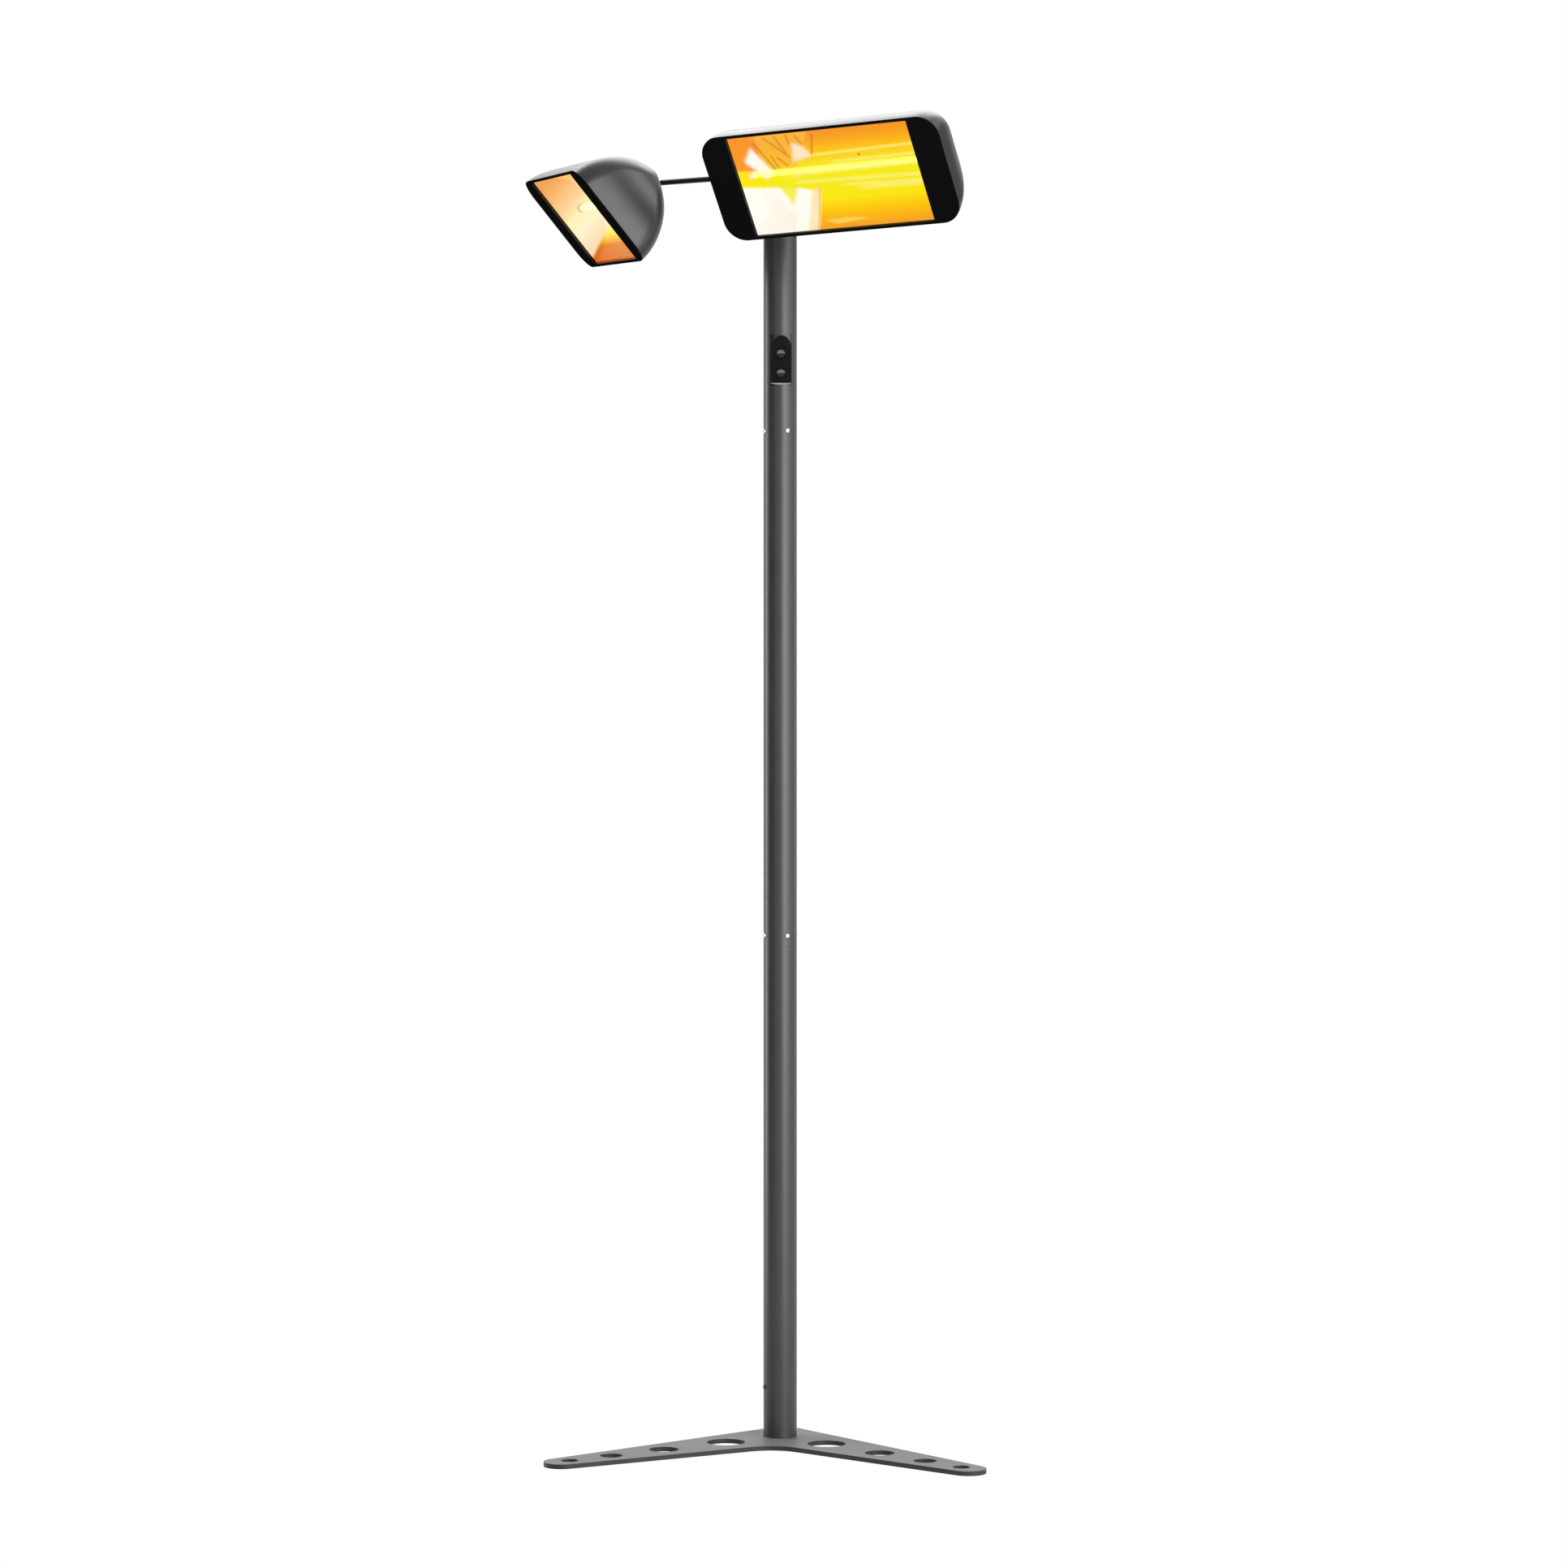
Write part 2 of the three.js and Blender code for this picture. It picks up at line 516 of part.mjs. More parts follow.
function addSwitches(tower) {
  const panel = branch(tower, { turnZ: PANEL_TURN });
  place(panel, 'switch_panel', switchPanel(), FINISHES.black());
  for (const [name, height] of Object.entries(SWITCH_HEIGHTS)) {
    const seat = branch(panel, { at: [0, 0, height] });
    place(seat, `${name}_switch_body`, switchBody(), FINISHES.black());
    const pivot = branch(seat, { at: [0, PANEL_FLAT + ROCKER_PIVOT_DEPTH, 0], turnX: -ROCKER_REST_ANGLE });
    place(pivot, `${name}_rocker`, rocker(), FINISHES.black());
  }
}

// ---- hub and arms -----------------------------------------------------------------------

// Pieces of the hub are drawn from the post's top upwards. Each boss points along +X until it
// is turned to its arm's direction.
function alongArm(geometry, side) {
  return geometry.translate(0, 0, ARM_RISE).rotateZ(HUB_ARM_ANGLE[side] * DEGREE);
}

function hub() {
  const groove = -HUB_GROOVE.rise;
  const half = HUB_GROOVE.width / 2;
  const rounding = [0, 30, 60, 90].map((angle) => [
    POST_RADIUS - HUB_CORNER * (1 - Math.cos(angle * DEGREE)),
    HUB_HEIGHT - HUB_CORNER * (1 - Math.sin(angle * DEGREE)),
  ]);
  const body = turned([
    [0, -HUB_SPIGOT], [INSERT_RADIUS, -HUB_SPIGOT], [INSERT_RADIUS, groove - half],
    [INSERT_RADIUS - HUB_GROOVE.depth, groove - half], [INSERT_RADIUS - HUB_GROOVE.depth, groove + half],
    [INSERT_RADIUS, groove + half], [INSERT_RADIUS, HUB_LIFT], [POST_RADIUS, HUB_LIFT],
    ...rounding, [0, HUB_HEIGHT],
  ], ROUND);
  const bosses = [];
  const bores = [rod(HUB_BORE, -HUB_SPIGOT - OVERCUT, HUB_HEIGHT - HUB_TOP_WALL, 'z', MEDIUM_ROUND)];
  for (const side of Object.keys(HUB_ARM_ANGLE)) {
    bosses.push(alongArm(rod(ARM_BOSS.radius, HUB_BORE + OVERCUT, ARM_BOSS.reach, 'x', MEDIUM_ROUND), side));
    bores.push(alongArm(rod(ARM_RADIUS + FIT, 0, ARM_BOSS.reach + OVERCUT, 'x'), side));
    const screwHole = rod(SET_SCREW.radius + FIT, 0, ARM_BOSS.radius + OVERCUT, 'z', 12);
    bores.push(alongArm(screwHole.translate(ARM_SCREW_REACH, 0, 0), side));
  }
  return cut(joined(body, ...bosses), ...bores);
}

// The arm is a hollow rod along +X that ends in a flat round tongue with the swivel hole.
// A small side hole lets the lamp's leads out.
function arm() {
  const neckEnd = ARM_REACH - ARM_TONGUE.neck;
  const half = ARM_TONGUE.thickness / 2;
  const outside = joined(
    rod(ARM_RADIUS, ARM_ROOT, neckEnd, 'x'),
    box(neckEnd - ARM_TONGUE.root, ARM_REACH, -ARM_TONGUE.neckHalf, ARM_TONGUE.neckHalf, -half, half),
    rod(ARM_TONGUE.radius, -half, half, 'z', MEDIUM_ROUND).translate(ARM_REACH, 0, 0),
  );
  const exitAt = neckEnd - ARM_LEAD_EXIT.fromTongue;
  return cut(outside,
    rod(ARM_BORE, ARM_ROOT - OVERCUT, exitAt + ARM_LEAD_EXIT.radius, 'x', SMALL_ROUND),
    rod(ARM_LEAD_EXIT.radius, -ARM_RADIUS - OVERCUT, 0, 'z', 12).translate(exitAt, 0, 0),
    rod(BOLT_HOLE, -half - OVERCUT, half + OVERCUT).translate(ARM_REACH, 0, 0));
}

// The knuckle is drawn around the swivel bolt: two plates over and under the arm's tongue, and
// a lug in front of them for the tilt bolt.
function knuckle() {
  const gap = ARM_TONGUE.thickness / 2 + FIT;
  const { radius, width } = KNUCKLE_LUG;
  const lug = rod(radius, -width / 2, width / 2, 'x', MEDIUM_ROUND).translate(0, -KNUCKLE_OFFSET, 0);
  const plates = [1, -1].map((side) => {
    const bottom = side > 0 ? gap : -gap - KNUCKLE_PLATE;
    const disc = rod(ARM_TONGUE.radius, bottom, bottom + KNUCKLE_PLATE, 'z', MEDIUM_ROUND);
    return joined(disc, box(-width / 2, width / 2, -KNUCKLE_OFFSET, 0, bottom, bottom + KNUCKLE_PLATE));
  });
  return cut(joined(lug, ...plates),
    rod(BOLT_HOLE, -3 * gap, 3 * gap),
    rod(BOLT_HOLE, -width, width, 'x').translate(0, -KNUCKLE_OFFSET, 0));
}

function swivelBolt() {
  const seat = ARM_TONGUE.thickness / 2 + FIT + KNUCKLE_PLATE + FIT;
  return boltShape(2 * (seat + BOLT_END)).translate(0, 0, seat);
}

// ---- heater head ------------------------------------------------------------------------

// The head's outside, drawn smaller by the same amount all round when inset. Each ring is a
// rounded rectangle; towards the back it follows the D-shaped section and the domed ends.
function headBody(inset, front = BEZEL_THICKNESS + FIT) {
  const positions = [];
  const perRing = 4 * (HEAD_CORNER_FACETS + 1);
  const depth = HEAD_DEPTH - BEZEL_THICKNESS - inset;
  const halfHeight = HEAD_HEIGHT / 2 - inset;
  const halfLength = HEAD_LENGTH / 2 - inset;
  const levels = [{ y: front, rise: 1, drawIn: 0 }];
  for (let i = front < BEZEL_THICKNESS ? 0 : 1; i < HEAD_RINGS; i += 1) {
    const angle = (i / (HEAD_RINGS - 1)) * HEAD_LAST_ANGLE * DEGREE;
    const run = Math.sin(angle) ** (2 / HEAD_SECTION_POWER);
    levels.push({
      y: BEZEL_THICKNESS + depth * run,
      rise: Math.cos(angle) ** (2 / HEAD_SECTION_POWER),
      drawIn: HEAD_END_DOME * (1 - Math.sqrt(1 - run * run)),
    });
  }
  for (const { y, rise, drawIn } of levels) {
    const h = halfHeight * rise;
    const corner = Math.min(HEAD_CORNER - inset, h - FIT);
    const x = halfLength - drawIn - corner;
    const z = h - corner;
    for (let quarter = 0; quarter < 4; quarter += 1) {
      for (let step = 0; step <= HEAD_CORNER_FACETS; step += 1) {
        const angle = (quarter + step / HEAD_CORNER_FACETS) * 90 * DEGREE;
        const signX = quarter === 0 || quarter === 3 ? 1 : -1;
        const signZ = quarter < 2 ? 1 : -1;
        positions.push(signX * x + corner * Math.cos(angle), y, signZ * z + corner * Math.sin(angle));
      }
    }
  }
  const faces = [];
  for (let ring = 0; ring + 1 < levels.length; ring += 1) {
    for (let i = 0; i < perRing; i += 1) {
      const next = (i + 1) % perRing;
      const a = ring * perRing + i;
      const b = ring * perRing + next;
      faces.push(a, a + perRing, b, b, a + perRing, b + perRing);
    }
  }
  const last = (levels.length - 1) * perRing;
  for (let i = 1; i + 1 < perRing; i += 1) {
    faces.push(0, i, i + 1, last, last + i + 1, last + i);
  }
  const geometry = new THREE.BufferGeometry();
  geometry.setAttribute('position', new THREE.Float32BufferAttribute(positions, 3));
  geometry.setIndex(faces);
  return geometry;
}

// Depth of the head's outside at a height on its middle, from the D-shaped section.
function depthAt(height) {
  const share = (Math.abs(height) / (HEAD_HEIGHT / 2)) ** HEAD_SECTION_POWER;
  return BEZEL_THICKNESS + (HEAD_DEPTH - BEZEL_THICKNESS) * (1 - share) ** (1 / HEAD_SECTION_POWER);
}

// The yoke's foot leans with the head's back: the angle of the back's normal at the yoke,
// below straight back.
function yokeLean() {
  const step = 1;
  return Math.atan2(depthAt(YOKE_HEIGHT + step) - depthAt(YOKE_HEIGHT - step), 2 * step);
}

// Geometry drawn around the tilt axis, with -y towards the head, is leaned and moved into the
// head's frame.
function atYoke(geometry) {
  return geometry.rotateX(-yokeLean()).translate(0, TILT_DEPTH, -TILT_AXIS.drop);
}

function yokeScrewHole(side) {
  const hole = rod(SCREW_HOLE, -3 * SCREW_BITE - yokeReach(), 0, 'y', 12);
  return hole.translate((side * YOKE_SCREW_SPACING) / 2, 0, 0);
}

function shell() {
  const back = HEAD_DEPTH - SHELL_WALL;
  const outside = headBody(0);
  const inside = headBody(SHELL_WALL, BEZEL_THICKNESS - OVERCUT);
  const glandHole = rod(
    GLAND.threadRadius + FIT, back - 3 * OVERCUT, HEAD_DEPTH + OVERCUT, 'y', MEDIUM_ROUND);
  const screwHolesInBack = [-1, 1].map((side) => atYoke(yokeScrewHole(side)));
  return cut(outside, inside, glandHole.translate(GLAND.offset, 0, 0), ...screwHolesInBack);
}

function bezel() {
  const shape = roundedRectangle(HEAD_LENGTH, HEAD_HEIGHT, HEAD_CORNER);
  shape.holes.push(new THREE.Path(rectangle(WINDOW_LENGTH, WINDOW_HEIGHT).getPoints().reverse()));
  return slab(shape, 0, BEZEL_THICKNESS);
}

function gasket() {
  const shape = rectangle(GLASS_LENGTH, GLASS_HEIGHT);
  shape.holes.push(new THREE.Path(rectangle(WINDOW_LENGTH, WINDOW_HEIGHT).getPoints().reverse()));
  return slab(shape, GASKET_FRONT, GASKET_FRONT + GASKET_THICKNESS);
}

function glass() {
  return slab(rectangle(GLASS_LENGTH, GLASS_HEIGHT), GLASS_FRONT, GLASS_FRONT + GLASS_THICKNESS);
}

// The trough: a bent sheet with an end plate at each side and a flange behind the glass.
function troughSection(grow) {
  const upper = Object.values(REFLECTOR_BENDS).map(({ depth, inwards }) => [
    REFLECTOR_FRONT + depth + (depth > 0 ? grow : 0), MOUTH_HALF - inwards + grow]);
  const lower = upper.map(([depth, height]) => [depth, -height]).reverse();
  return [...upper, [REFLECTOR_FRONT + REFLECTOR_RIDGE_DEPTH + grow, 0], ...lower];
}

function reflector() {
  const inner = beam(troughSection(0), WINDOW_LENGTH);
  const outer = beam(troughSection(REFLECTOR_WALL), WINDOW_LENGTH + 2 * REFLECTOR_WALL);
  const flangeBack = REFLECTOR_FRONT + REFLECTOR_FLANGE;
  const flange = slab(rectangle(GLASS_LENGTH, WINDOW_HEIGHT), REFLECTOR_FRONT, flangeBack);
  const x = WINDOW_LENGTH / 2;
  const mouth = box(-x, x, REFLECTOR_FRONT - OVERCUT, REFLECTOR_FRONT + FIT, -MOUTH_HALF, MOUTH_HALF);
  const capHoles = rod(LAMP_CAP.radius + FIT, -HEAD_LENGTH / 2, HEAD_LENGTH / 2, 'x');
  return cut(joined(outer, flange), inner, mouth, capHoles.translate(0, LAMP_DEPTH, 0));
}

function lampTube() {
  const half = LAMP_LENGTH / 2;
  const outside = rod(LAMP.radius, -half, half, 'x');
  return cut(outside, rod(LAMP.bore, -half - OVERCUT, half + OVERCUT, 'x')).translate(0, LAMP_DEPTH, 0);
}

// The lamp's filament and the two ceramic ends that plug the tube and pass through the end
// plates of the trough.
function lampCore() {
  const half = LAMP_LENGTH / 2;
  const ends = [-1, 1].flatMap((side) => [
    [LAMP_CAP.radius, half + FIT, half + FIT + LAMP_CAP.length],
    [LAMP.bore - FIT, half - LAMP_CAP.plugLength, half + FIT + OVERCUT],
  ].map(([radius, from, to]) => (side > 0 ? rod(radius, from, to, 'x') : rod(radius, -to, -from, 'x'))));
  return joined(rod(FILAMENT_RADIUS, -half, half, 'x', 8), ...ends).translate(0, LAMP_DEPTH, 0);
}

// The ceramic terminal block is screwed flat to the inside of the shell's back.
function terminalBlock() {
  const { length, height, depth, offset } = TERMINALS;
  const back = depthAt(height / 2) - SHELL_WALL - 2 * FIT;
  const block = box(offset - length / 2, offset + length / 2, back - depth, back, -height / 2, height / 2);
  const wireHoles = [-1, 1].map((side) => {
    const hole = rod(TERMINALS.holeRadius, back - depth - OVERCUT, back - depth / 2, 'y', 12);
    return hole.translate(offset + (side * length) / 4, 0, 0);
  });
  return cut(block, ...wireHoles);
}

// The gland clamps the shell's wall between its outer flange and its inner nut.
function cableGland() {
  const { threadRadius, nutRadius, domeRadius, bore, thread } = GLAND;
  const outer = HEAD_DEPTH + FIT;
  const inner = depthAt(nutRadius) - SHELL_WALL - 2 * FIT;
  const end = outer + GLAND_NUT + GLAND_DOME;
  const body = joined(
    rod(threadRadius, inner - thread, outer + GLAND_NUT / 2, 'y'),
    rod(nutRadius, outer, outer + GLAND_NUT, 'y', 6),
    rod(domeRadius, outer + GLAND_NUT / 2, end, 'y', MEDIUM_ROUND),
    rod(nutRadius, inner - GLAND_INNER_NUT, inner, 'y', 6),
  );
  return cut(body, rod(bore, inner - thread - OVERCUT, end + OVERCUT, 'y', 12)).translate(GLAND.offset, 0, 0);
}

// The distance from the tilt axis to the head's back, along the leaning yoke.
function yokeReach() {
  const lean = yokeLean();
  const step = 0.05;
  let reach = 0;
  while (TILT_DEPTH - reach * Math.cos(lean) > depthAt(-TILT_AXIS.drop + reach * Math.sin(lean))) {
    reach += step;
  }
  return reach;
}

// A foot plate on the head's back and two round-ended ears for the tilt bolt. The foot's
// underside follows the back with a small gap.
function yoke() {
  const reach = yokeReach();
  const foot = -reach + FIT + YOKE_FOOT.thickness;
  const inner = KNUCKLE_LUG.width / 2 + FIT;
  const ears = [-1, 1].map((side) => {
    const [x0, x1] = side > 0 ? [inner, inner + YOKE_EAR] : [-inner - YOKE_EAR, -inner];
    return joined(
      rod(KNUCKLE_LUG.radius, x0, x1, 'x', MEDIUM_ROUND),
      box(x0, x1, -reach - 1, 0, -KNUCKLE_LUG.radius, KNUCKLE_LUG.radius),
    );
  });
  const { length, width } = YOKE_FOOT;
  const plate = box(-length / 2, length / 2, -reach - 3, foot, -width / 2, width / 2);
  const screwHolesInFoot = [-1, 1].map(yokeScrewHole);
  const bolt = rod(BOLT_HOLE, -inner - YOKE_EAR - OVERCUT, inner + YOKE_EAR + OVERCUT, 'x');
  const raw = atYoke(cut(joined(plate, ...ears), bolt, ...screwHolesInFoot));
  return cut(raw, headBody(-FIT));
}

function yokeScrew(side) {
  const seat = -yokeReach() + 2 * FIT + YOKE_FOOT.thickness;
  const screw = panScrew(YOKE_FOOT.thickness + SHELL_WALL + SCREW_BITE).rotateX(-Math.PI / 2);
  return atYoke(screw.translate((side * YOKE_SCREW_SPACING) / 2, seat, 0));
}

// The bolt's head and its nut sit on the outsides of the yoke's two ears.
const EAR_OUTSIDE = KNUCKLE_LUG.width / 2 + FIT + YOKE_EAR + FIT;

function tiltBolt() {
  const bolt = boltShape(2 * EAR_OUTSIDE + NUT.height + BOLT_END).rotateY(Math.PI / 2);
  return bolt.translate(EAR_OUTSIDE, TILT_DEPTH, -TILT_AXIS.drop);
}

function tiltNut() {
  const nut = cut(
    rod(NUT.cornerRadius, -EAR_OUTSIDE - NUT.height, -EAR_OUTSIDE, 'x', 6),
    rod(BOLT_HOLE, -EAR_OUTSIDE - NUT.height - OVERCUT, -EAR_OUTSIDE + OVERCUT, 'x'),
  );
  return nut.translate(0, TILT_DEPTH, -TILT_AXIS.drop);
}

function addHead(knuckleFrame, side) {
  const tilt = branch(knuckleFrame, { at: [0, -KNUCKLE_OFFSET, 0], turnX: HEAD_ANGLES[side].tilt });
  const head = branch(tilt, { at: [0, -TILT_DEPTH, TILT_AXIS.drop] });
  const add = (name, geometry, material) => place(head, `${side}_${name}`, geometry, material);
  add('shell', shell(), FINISHES.shell());
  add('bezel', bezel(), FINISHES.black());
  add('gasket', gasket(), FINISHES.rubber());
  add('glass', glass(), FINISHES.glass());
  add('reflector', reflector(), FINISHES.mirror());
  add('lamp_tube', lampTube(), FINISHES.quartz());
  add('lamp_core', lampCore(), FINISHES.glow());
  add('terminal_block', terminalBlock(), FINISHES.ceramic());
  add('cable_gland', cableGland(), FINISHES.black());
  add('yoke', yoke(), FINISHES.blackSteel());
  add('yoke_screw_1', yokeScrew(-1), FINISHES.steel());
  add('yoke_screw_2', yokeScrew(1), FINISHES.steel());
  add('tilt_bolt', tiltBolt(), FINISHES.blackSteel());
  add('tilt_nut', tiltNut(), FINISHES.blackSteel());
}

function addHubAndArms(tower) {
  const top = branch(tower, { at: [0, 0, POST_TOP] });
  place(top, 'hub', hub(), FINISHES.post());
  for (const side of Object.keys(HUB_ARM_ANGLE)) {
    const boss = branch(top, { at: [0, 0, ARM_RISE], turnZ: HUB_ARM_ANGLE[side] });
    const screw = setScrew().translate(ARM_SCREW_REACH, 0, ARM_RADIUS + FIT + SET_SCREW.length);
    place(boss, `${side}_arm_screw`, screw, FINISHES.steel());
    const turnedArm = branch(boss, { turnX: ARM_TWIST_ANGLE[side] });
    place(turnedArm, `${side}_arm`, arm(), FINISHES.blackSteel());
    const swivel = branch(turnedArm, { at: [ARM_REACH, 0, 0], turnZ: 90 + HEAD_ANGLES[side].swivel });
    place(swivel, `${side}_knuckle`, knuckle(), FINISHES.blackSteel());
    place(swivel, `${side}_swivel_bolt`, swivelBolt(), FINISHES.blackSteel());
    addHead(swivel, side);
  }
  const hubScrewLength = POST_RADIUS - (INSERT_RADIUS - HUB_GROOVE.depth);
  const hubScrew = postScrew(180, POST_TOP - HUB_GROOVE.rise, hubScrewLength);
  place(tower, 'hub_screw', hubScrew, FINISHES.steel());
}

const tower = new THREE.Group();
place(tower, 'base_plate', floorPlate(), FINISHES.plate());
addPost(tower);
addSwitches(tower);
addHubAndArms(tower);

export default tower;
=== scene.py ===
import json
import math

import bmesh
import bpy
from mathutils import Matrix, Vector


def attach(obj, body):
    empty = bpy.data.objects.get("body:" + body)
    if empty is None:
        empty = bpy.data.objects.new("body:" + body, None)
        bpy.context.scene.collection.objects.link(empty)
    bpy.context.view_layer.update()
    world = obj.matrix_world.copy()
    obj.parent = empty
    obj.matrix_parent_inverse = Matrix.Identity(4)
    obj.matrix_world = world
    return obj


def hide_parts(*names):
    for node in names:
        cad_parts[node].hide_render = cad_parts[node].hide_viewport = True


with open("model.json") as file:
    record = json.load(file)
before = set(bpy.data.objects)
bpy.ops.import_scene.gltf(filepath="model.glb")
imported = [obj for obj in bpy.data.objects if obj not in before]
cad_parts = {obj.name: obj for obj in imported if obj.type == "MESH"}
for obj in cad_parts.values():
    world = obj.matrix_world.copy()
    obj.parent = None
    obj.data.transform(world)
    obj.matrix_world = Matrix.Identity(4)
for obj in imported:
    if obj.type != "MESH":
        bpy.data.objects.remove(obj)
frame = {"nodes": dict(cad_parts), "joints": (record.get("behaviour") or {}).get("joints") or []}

scene = bpy.context.scene
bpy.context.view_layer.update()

# ---- camera ------------------------------------------------------------------------------
# A long lens at a little over a metre, level with the middle of the post, so the post stays
# upright in the picture.
camera = bpy.data.objects.new("camera", bpy.data.cameras.new("camera"))
camera.location = (0.6529, -6.8338, 1.17735)
camera.rotation_euler = (math.radians(90), 0, math.radians(5.4))
camera.data.lens = 87.84
camera.data.sensor_width = 36
camera.data.clip_end = 100
scene.collection.objects.link(camera)
scene.camera = camera
scene.view_settings.view_transform = "Standard"

# ---- studio light, floor and backdrop ----------------------------------------------------
# Soft boxes stand round the tower as in a product studio: two broad ones to the right of the
# camera, a narrow one at the left and three overhead. Each aims at its own height on the post.
for name, width, height, place, aim_height, radiance in (
        ("key_box", 1.9, 3.4, (2.1, -2.95, 1.5), 1.2, 4.8),
        ("wide_box", 4.2, 3.4, (3.4, -2.5, 1.5), 1.2, 2.4),
        ("left_strip_box", 0.5, 3.6, (-2.6, 0.6, 1.3), 1.2, 8.0),
        ("overhead_box", 3.0, 2.4, (-0.2, 1.9, 4.5), 1.6, 3.6),
        ("upper_right_box", 1.7, 1.5, (3.3, -0.4, 4.2), 2.1, 6.0),
        ("upper_left_box", 1.5, 1.3, (-2.1, 0.9, 4.9), 2.1, 8.0)):
    lamp = bpy.data.lights.new(name, "AREA")
    lamp.shape = "RECTANGLE"
    lamp.size, lamp.size_y = width, height
    lamp.energy = radiance * math.pi * width * height
    softbox = bpy.data.objects.new(name, lamp)
    softbox.location = place
    aim = Vector((0, 0, aim_height)) - Vector(place)
    softbox.rotation_euler = aim.to_track_quat("-Z", "Y").to_euler()
    scene.collection.objects.link(softbox)


def material(name, metallic=0.0, specular=0.5, **fixed):
    made = bpy.data.materials.new(name)
    made.use_nodes = True
    surface = made.node_tree.nodes["Principled BSDF"]
    surface.inputs["Metallic"].default_value = metallic
    surface.inputs["Specular IOR Level"].default_value = specular
    for socket, value in fixed.items():
        surface.inputs[socket.replace("_", " ")].default_value = value
    return made


# Black cards at both sides keep dark bands on the post and on the heads' ends. They show only
# in reflections, so no side of the tower is hidden by them.
card_black = material("card_black", specular=0, Base_Color=(0.01, 0.01, 0.01, 1))
for name, width, height, place in (("left_card", 2.0, 3.2, (-2.04, -1.27, 1.6)),
                                   ("right_card", 2.0, 1.5, (2.4, 2.1, 3.2))):
    bpy.ops.mesh.primitive_plane_add(size=1, location=place)
    card = bpy.context.object
    card.name = name
    card.scale = (width, height, 1)
    card.rotation_euler = Vector((-place[0], -place[1], 0)).to_track_quat("Z", "Y").to_euler()
    card.data.materials.append(card_black)
    card.visible_camera = False


def add(tree, kind, operation=None, **fixed):
    """A new shader node, with those of its sockets that stay plain set by name."""
    made = tree.nodes.new(kind)
    if operation:
        made.operation = operation
    for socket, value in fixed.items():
        made.inputs[socket.replace("_", " ")].default_value = value
    return made


def connect(tree, *pairs):
    for source, target in pairs:
        tree.links.new(source, target)


def seen_by(tree, *kinds):
    """1 for rays of these kinds and 0 for all others."""
    ray = add(tree, "ShaderNodeLightPath")
    seen = ray.outputs[f"Is {kinds[0]} Ray"]
    for kind in kinds[1:]:
        either = add(tree, "ShaderNodeMath", "MAXIMUM")
        connect(tree, (seen, either.inputs[0]), (ray.outputs[f"Is {kind} Ray"], either.inputs[1]))
        seen = either.outputs[0]
    return seen


# The surround is plain white to the eye and in reflections, but lights the tower only dimly.
SURROUND_LIGHT, SURROUND_SEEN = 0.3, 1.0
scene.world = bpy.data.worlds.new("studio")
scene.world.use_nodes = True
surround = scene.world.node_tree
level = add(surround, "ShaderNodeMapRange", To_Min=SURROUND_LIGHT, To_Max=SURROUND_SEEN)
surround.nodes["Background"].inputs["Color"].default_value = (1, 1, 1, 1)
connect(surround, (seen_by(surround, "Camera", "Glossy", "Transmission"), level.inputs["Value"]),
        (level.outputs["Result"], surround.nodes["Background"].inputs["Strength"]))

# The floor is matt and pale round the tower's foot, and fades to the surround's white.
FADE_START, FADE_END, WHITE_AT_FOOT = 0.2, 1.0, 0.8
bpy.ops.mesh.primitive_circle_add(vertices=96, radius=30, fill_type="NGON", location=(0, 0, -0.0005))
floor = bpy.context.object
floor.name = "floor"
floor_paint = material("pale_floor", specular=0, Base_Color=(0.93, 0.93, 0.93, 1), Roughness=0.9)
paint = floor_paint.node_tree
spot = add(paint, "ShaderNodeTexCoord")
reach = add(paint, "ShaderNodeVectorMath", "LENGTH")
fade = add(paint, "ShaderNodeMapRange", From_Min=FADE_START, From_Max=FADE_END, To_Min=WHITE_AT_FOOT)
fade.interpolation_type = "SMOOTHSTEP"
share = add(paint, "ShaderNodeMath", "MULTIPLY")
white, blend = add(paint, "ShaderNodeEmission"), add(paint, "ShaderNodeMixShader")
connect(paint, (spot.outputs["Object"], reach.inputs[0]),
        (reach.outputs["Value"], fade.inputs["Value"]),
        (fade.outputs["Result"], share.inputs[0]),
        (seen_by(paint, "Camera", "Glossy"), share.inputs[1]),
        (share.outputs[0], blend.inputs[0]),
        (paint.nodes["Principled BSDF"].outputs[0], blend.inputs[1]),
        (white.outputs[0], blend.inputs[2]),
        (blend.outputs[0], paint.nodes["Material Output"].inputs["Surface"]))
floor.data.materials.append(floor_paint)

# ---- floor plate -------------------------------------------------------------------------
# One flat V laser-cut from 8 mm steel, with four round holes in each arm. Its edges are
# broken with a file, and it is powder-coated satin grey.
PLATE_THICKNESS, PLATE_REACH, PLATE_ARM_ANGLE = 0.008, 0.457, -40
PLATE_ROOT, PLATE_TIP = 0.0774, 0.032
BACK_ROUNDING, FRONT_ROUNDING = 0.030, 0.070
PLATE_HOLES = [(0.117, 0.034), (0.248, 0.026), (0.357, 0.020), (0.442, 0.015)]
CUT_LOW, CUT_HIGH = -0.01, 0.02


def take(*pieces):
    """Selects these pieces and no others, with the first as the active one."""
    bpy.ops.object.select_all(action="DESELECT")
    for piece in pieces:
        piece.select_set(True)
    bpy.context.view_layer.objects.active = pieces[0]


def settled(name):
    """The piece just added, named, with its place, turn and size taken into its mesh."""
    bpy.ops.object.transform_apply()
    piece = bpy.context.object
    piece.name = piece.data.name = name
    return piece


def cylinder(name, radius, low, high, sides=96, at=(0, 0)):
    bpy.ops.mesh.primitive_cylinder_add(
        vertices=sides, radius=radius, depth=high - low, location=(*at, (low + high) / 2))
    return settled(name)


